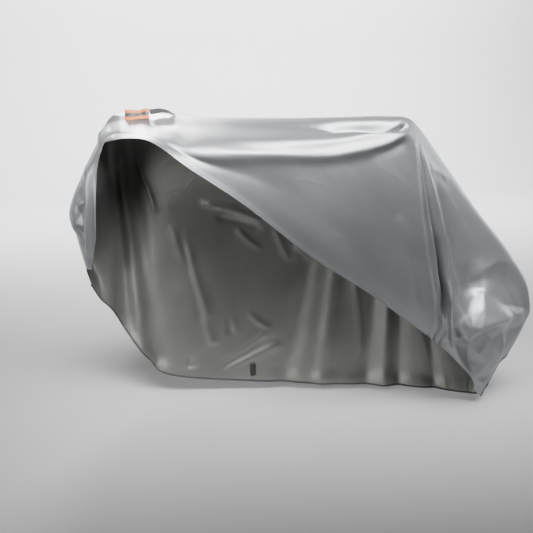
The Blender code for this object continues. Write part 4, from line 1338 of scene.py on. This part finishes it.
# Loop of offsets with thin rounded edges.
def tapeSection(width, thick, across):
    reach = np.linspace(-1.0, 1.0, across)
    half = width / 2.0
    top = [(r * half, thick / 2.0 * (1.0 - 0.5 * abs(r) ** 8)) for r in reach]
    return top + [(a, -t) for a, t in reversed(top)]


def crumpleTape(made, settings, section, thick, wide):
    steps = settings["steps"]
    fineAlong, fineAcross = settings["fineWaves"]
    for k, vertex in enumerate(made.data.vertices):
        row, column = divmod(k, len(section))
        if row > steps:
            continue
        across = section[column][0]
        along = row / steps * settings["crumpleRun"]
        waves = settings["waves"]
        wave = noise.noise((along * waves, across * waves * settings["acrossShare"], 4.0))
        fine = noise.noise((along * fineAlong, across * fineAcross, 9.0))
        ends = min(1.0, row / settings["endRows"], (steps - row) / settings["endRows"])
        push = wave * settings["crumple"] + fine * settings["crumple"] * settings["fineShare"]
        vertex.co += Vector(thick[row]) * (push * ends)
        vertex.co += Vector(wide[row]) * wave * settings["sway"] * ends


def makeRibbon(name, settings, surface, node, slotName):
    line, thick, wide = ribbonFrame(settings)
    section = tapeSection(settings["wide"], settings["thick"], 17)
    made = sweptTape(name, line, thick, wide, section, surface)
    if "crumple" in settings:
        crumpleTape(made, settings, section, thick, wide)
    top = float(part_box(node)[1][2])
    mine = np.array([v.co for v in made.data.vertices])
    shift = top - settings["below"] - mine[:, 2].max()
    for vertex in made.data.vertices:
        vertex.co.z += shift
    return declare(made, slotName, node)


buckle = dict(
    outline=(
        # half outline from the top middle: across, down
        (0.0000, 0.0000), (0.0105, 0.0000), (0.0122, 0.0018), (0.0122, 0.0090),
        (0.0100, 0.0112), (0.0100, 0.0180), (0.0118, 0.0204), (0.0105, 0.0256), (0.0000, 0.0260),
    ),
    thick=0.0058,
    bevel=0.0009,
    dark=(0.012, 0.012, 0.013),
    light=(0.02, 0.02, 0.022),
    roughness=(0.36, 0.48),
)


def makeBuckle(surface):
    low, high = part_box("hem_buckle")
    low = Vector(low)
    high = Vector(high)
    middle = (low + high) / 2.0
    half = list(buckle["outline"])
    loop = half + [(-x, y) for x, y in reversed(half[1:-1])]
    work = bmesh.new()
    thick = buckle["thick"] / 2.0
    face = work.faces.new([
        work.verts.new((middle.x + x, middle.y - thick, high.z - y)) for x, y in loop
    ])
    grown = bmesh.ops.extrude_face_region(work, geom=[face])
    for item in grown["geom"]:
        if isinstance(item, bmesh.types.BMVert):
            item.co.y += 2.0 * thick
    bmesh.ops.recalc_face_normals(work, faces=work.faces[:])
    bmesh.ops.bevel(work, geom=work.edges[:], offset=buckle["bevel"], segments=3, affect="EDGES")
    mesh = bpy.data.meshes.new("hemBuckle")
    work.to_mesh(mesh)
    work.free()
    mesh.materials.append(surface)
    mesh.shade_smooth()
    mesh.set_sharp_from_angle(angle=math.radians(40.0))
    made = bpy.data.objects.new("hemBuckle", mesh)
    bpy.context.scene.collection.objects.link(made)
    return declare(made, "buckle", "hem_buckle")


def makeTab(surface):
    low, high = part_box("hem_tab")
    middle = (np.array(low) + np.array(high)) / 2.0
    steps = 10
    line = np.array([
        [middle[0], middle[1], low[2] + (high[2] - low[2]) * k / steps] for k in range(steps + 1)
    ])
    facing = np.tile([0.0, -1.0, 0.0], (steps + 1, 1))
    wide = np.tile([1.0, 0.0, 0.0], (steps + 1, 1))
    section = tapeSection(high[0] - low[0], high[1] - low[1], 9)
    made = sweptTape("hemTab", line, facing, wide, section, surface)
    return declare(made, "webbing", "hem_tab")


say("studio")
addCamera()
addWorld()
for lamp in lamps:
    addLamp(*lamp)
addFloor()

say("materials")
weave = makeWeave()
crumple = makeCrumple()
outerCloth = clothMaterial("cloth outside", clothLook["outer"], weave, crumple)
# The inside faces get a darker copy of the cloth: painted shade of the cover's shaded inside, over the
# underside's warmer grey.
innerShadedCloth = clothMaterial("cloth inside with painted shade", clothLook["inner"], weave, crumple)
tapeBlack = webbingMaterial("binding tape", binding)
webBlack = webbingMaterial("webbing", strap)

say("cloth")
nearCloth, farCloth, grid, normals, flat, crossings = makeCloth([outerCloth, innerShadedCloth])

say("binding, strap and fittings")
hemTape = makeBinding(grid, normals, tapeBlack)
nearRows = []
ridge = int(np.argmin(np.abs(crossings - cloth["ridgePlace"])))
nearRows.append(alongCloth(grid, normals, flat, flat[:, 0, 1] + stitch["hemIn"], 0.0))
for inward in stitch["seamIn"]:
    nearRows.append(alongCloth(grid, normals, flat, flat[:, ridge, 1] - inward, cloth["felledThick"]))
makeStitches("clothStitches", nearRows, threadMaterial("grey thread", stitch))
makeRibbon("topStrap", strap, webBlack, "top_strap", "webbing")
bandTape = stripedMaterial("reflective band", band)
makeRibbon("reflectiveBand", band, bandTape, "reflective_band", "reflective")
makeTab(webBlack)
makeBuckle(mouldedMaterial("buckle plastic", buckle))

sizes = {"cad": [list(map(float, c)) for c in cadBox], "visual": [list(map(float, c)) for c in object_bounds()]}
say("size " + str(sizes))
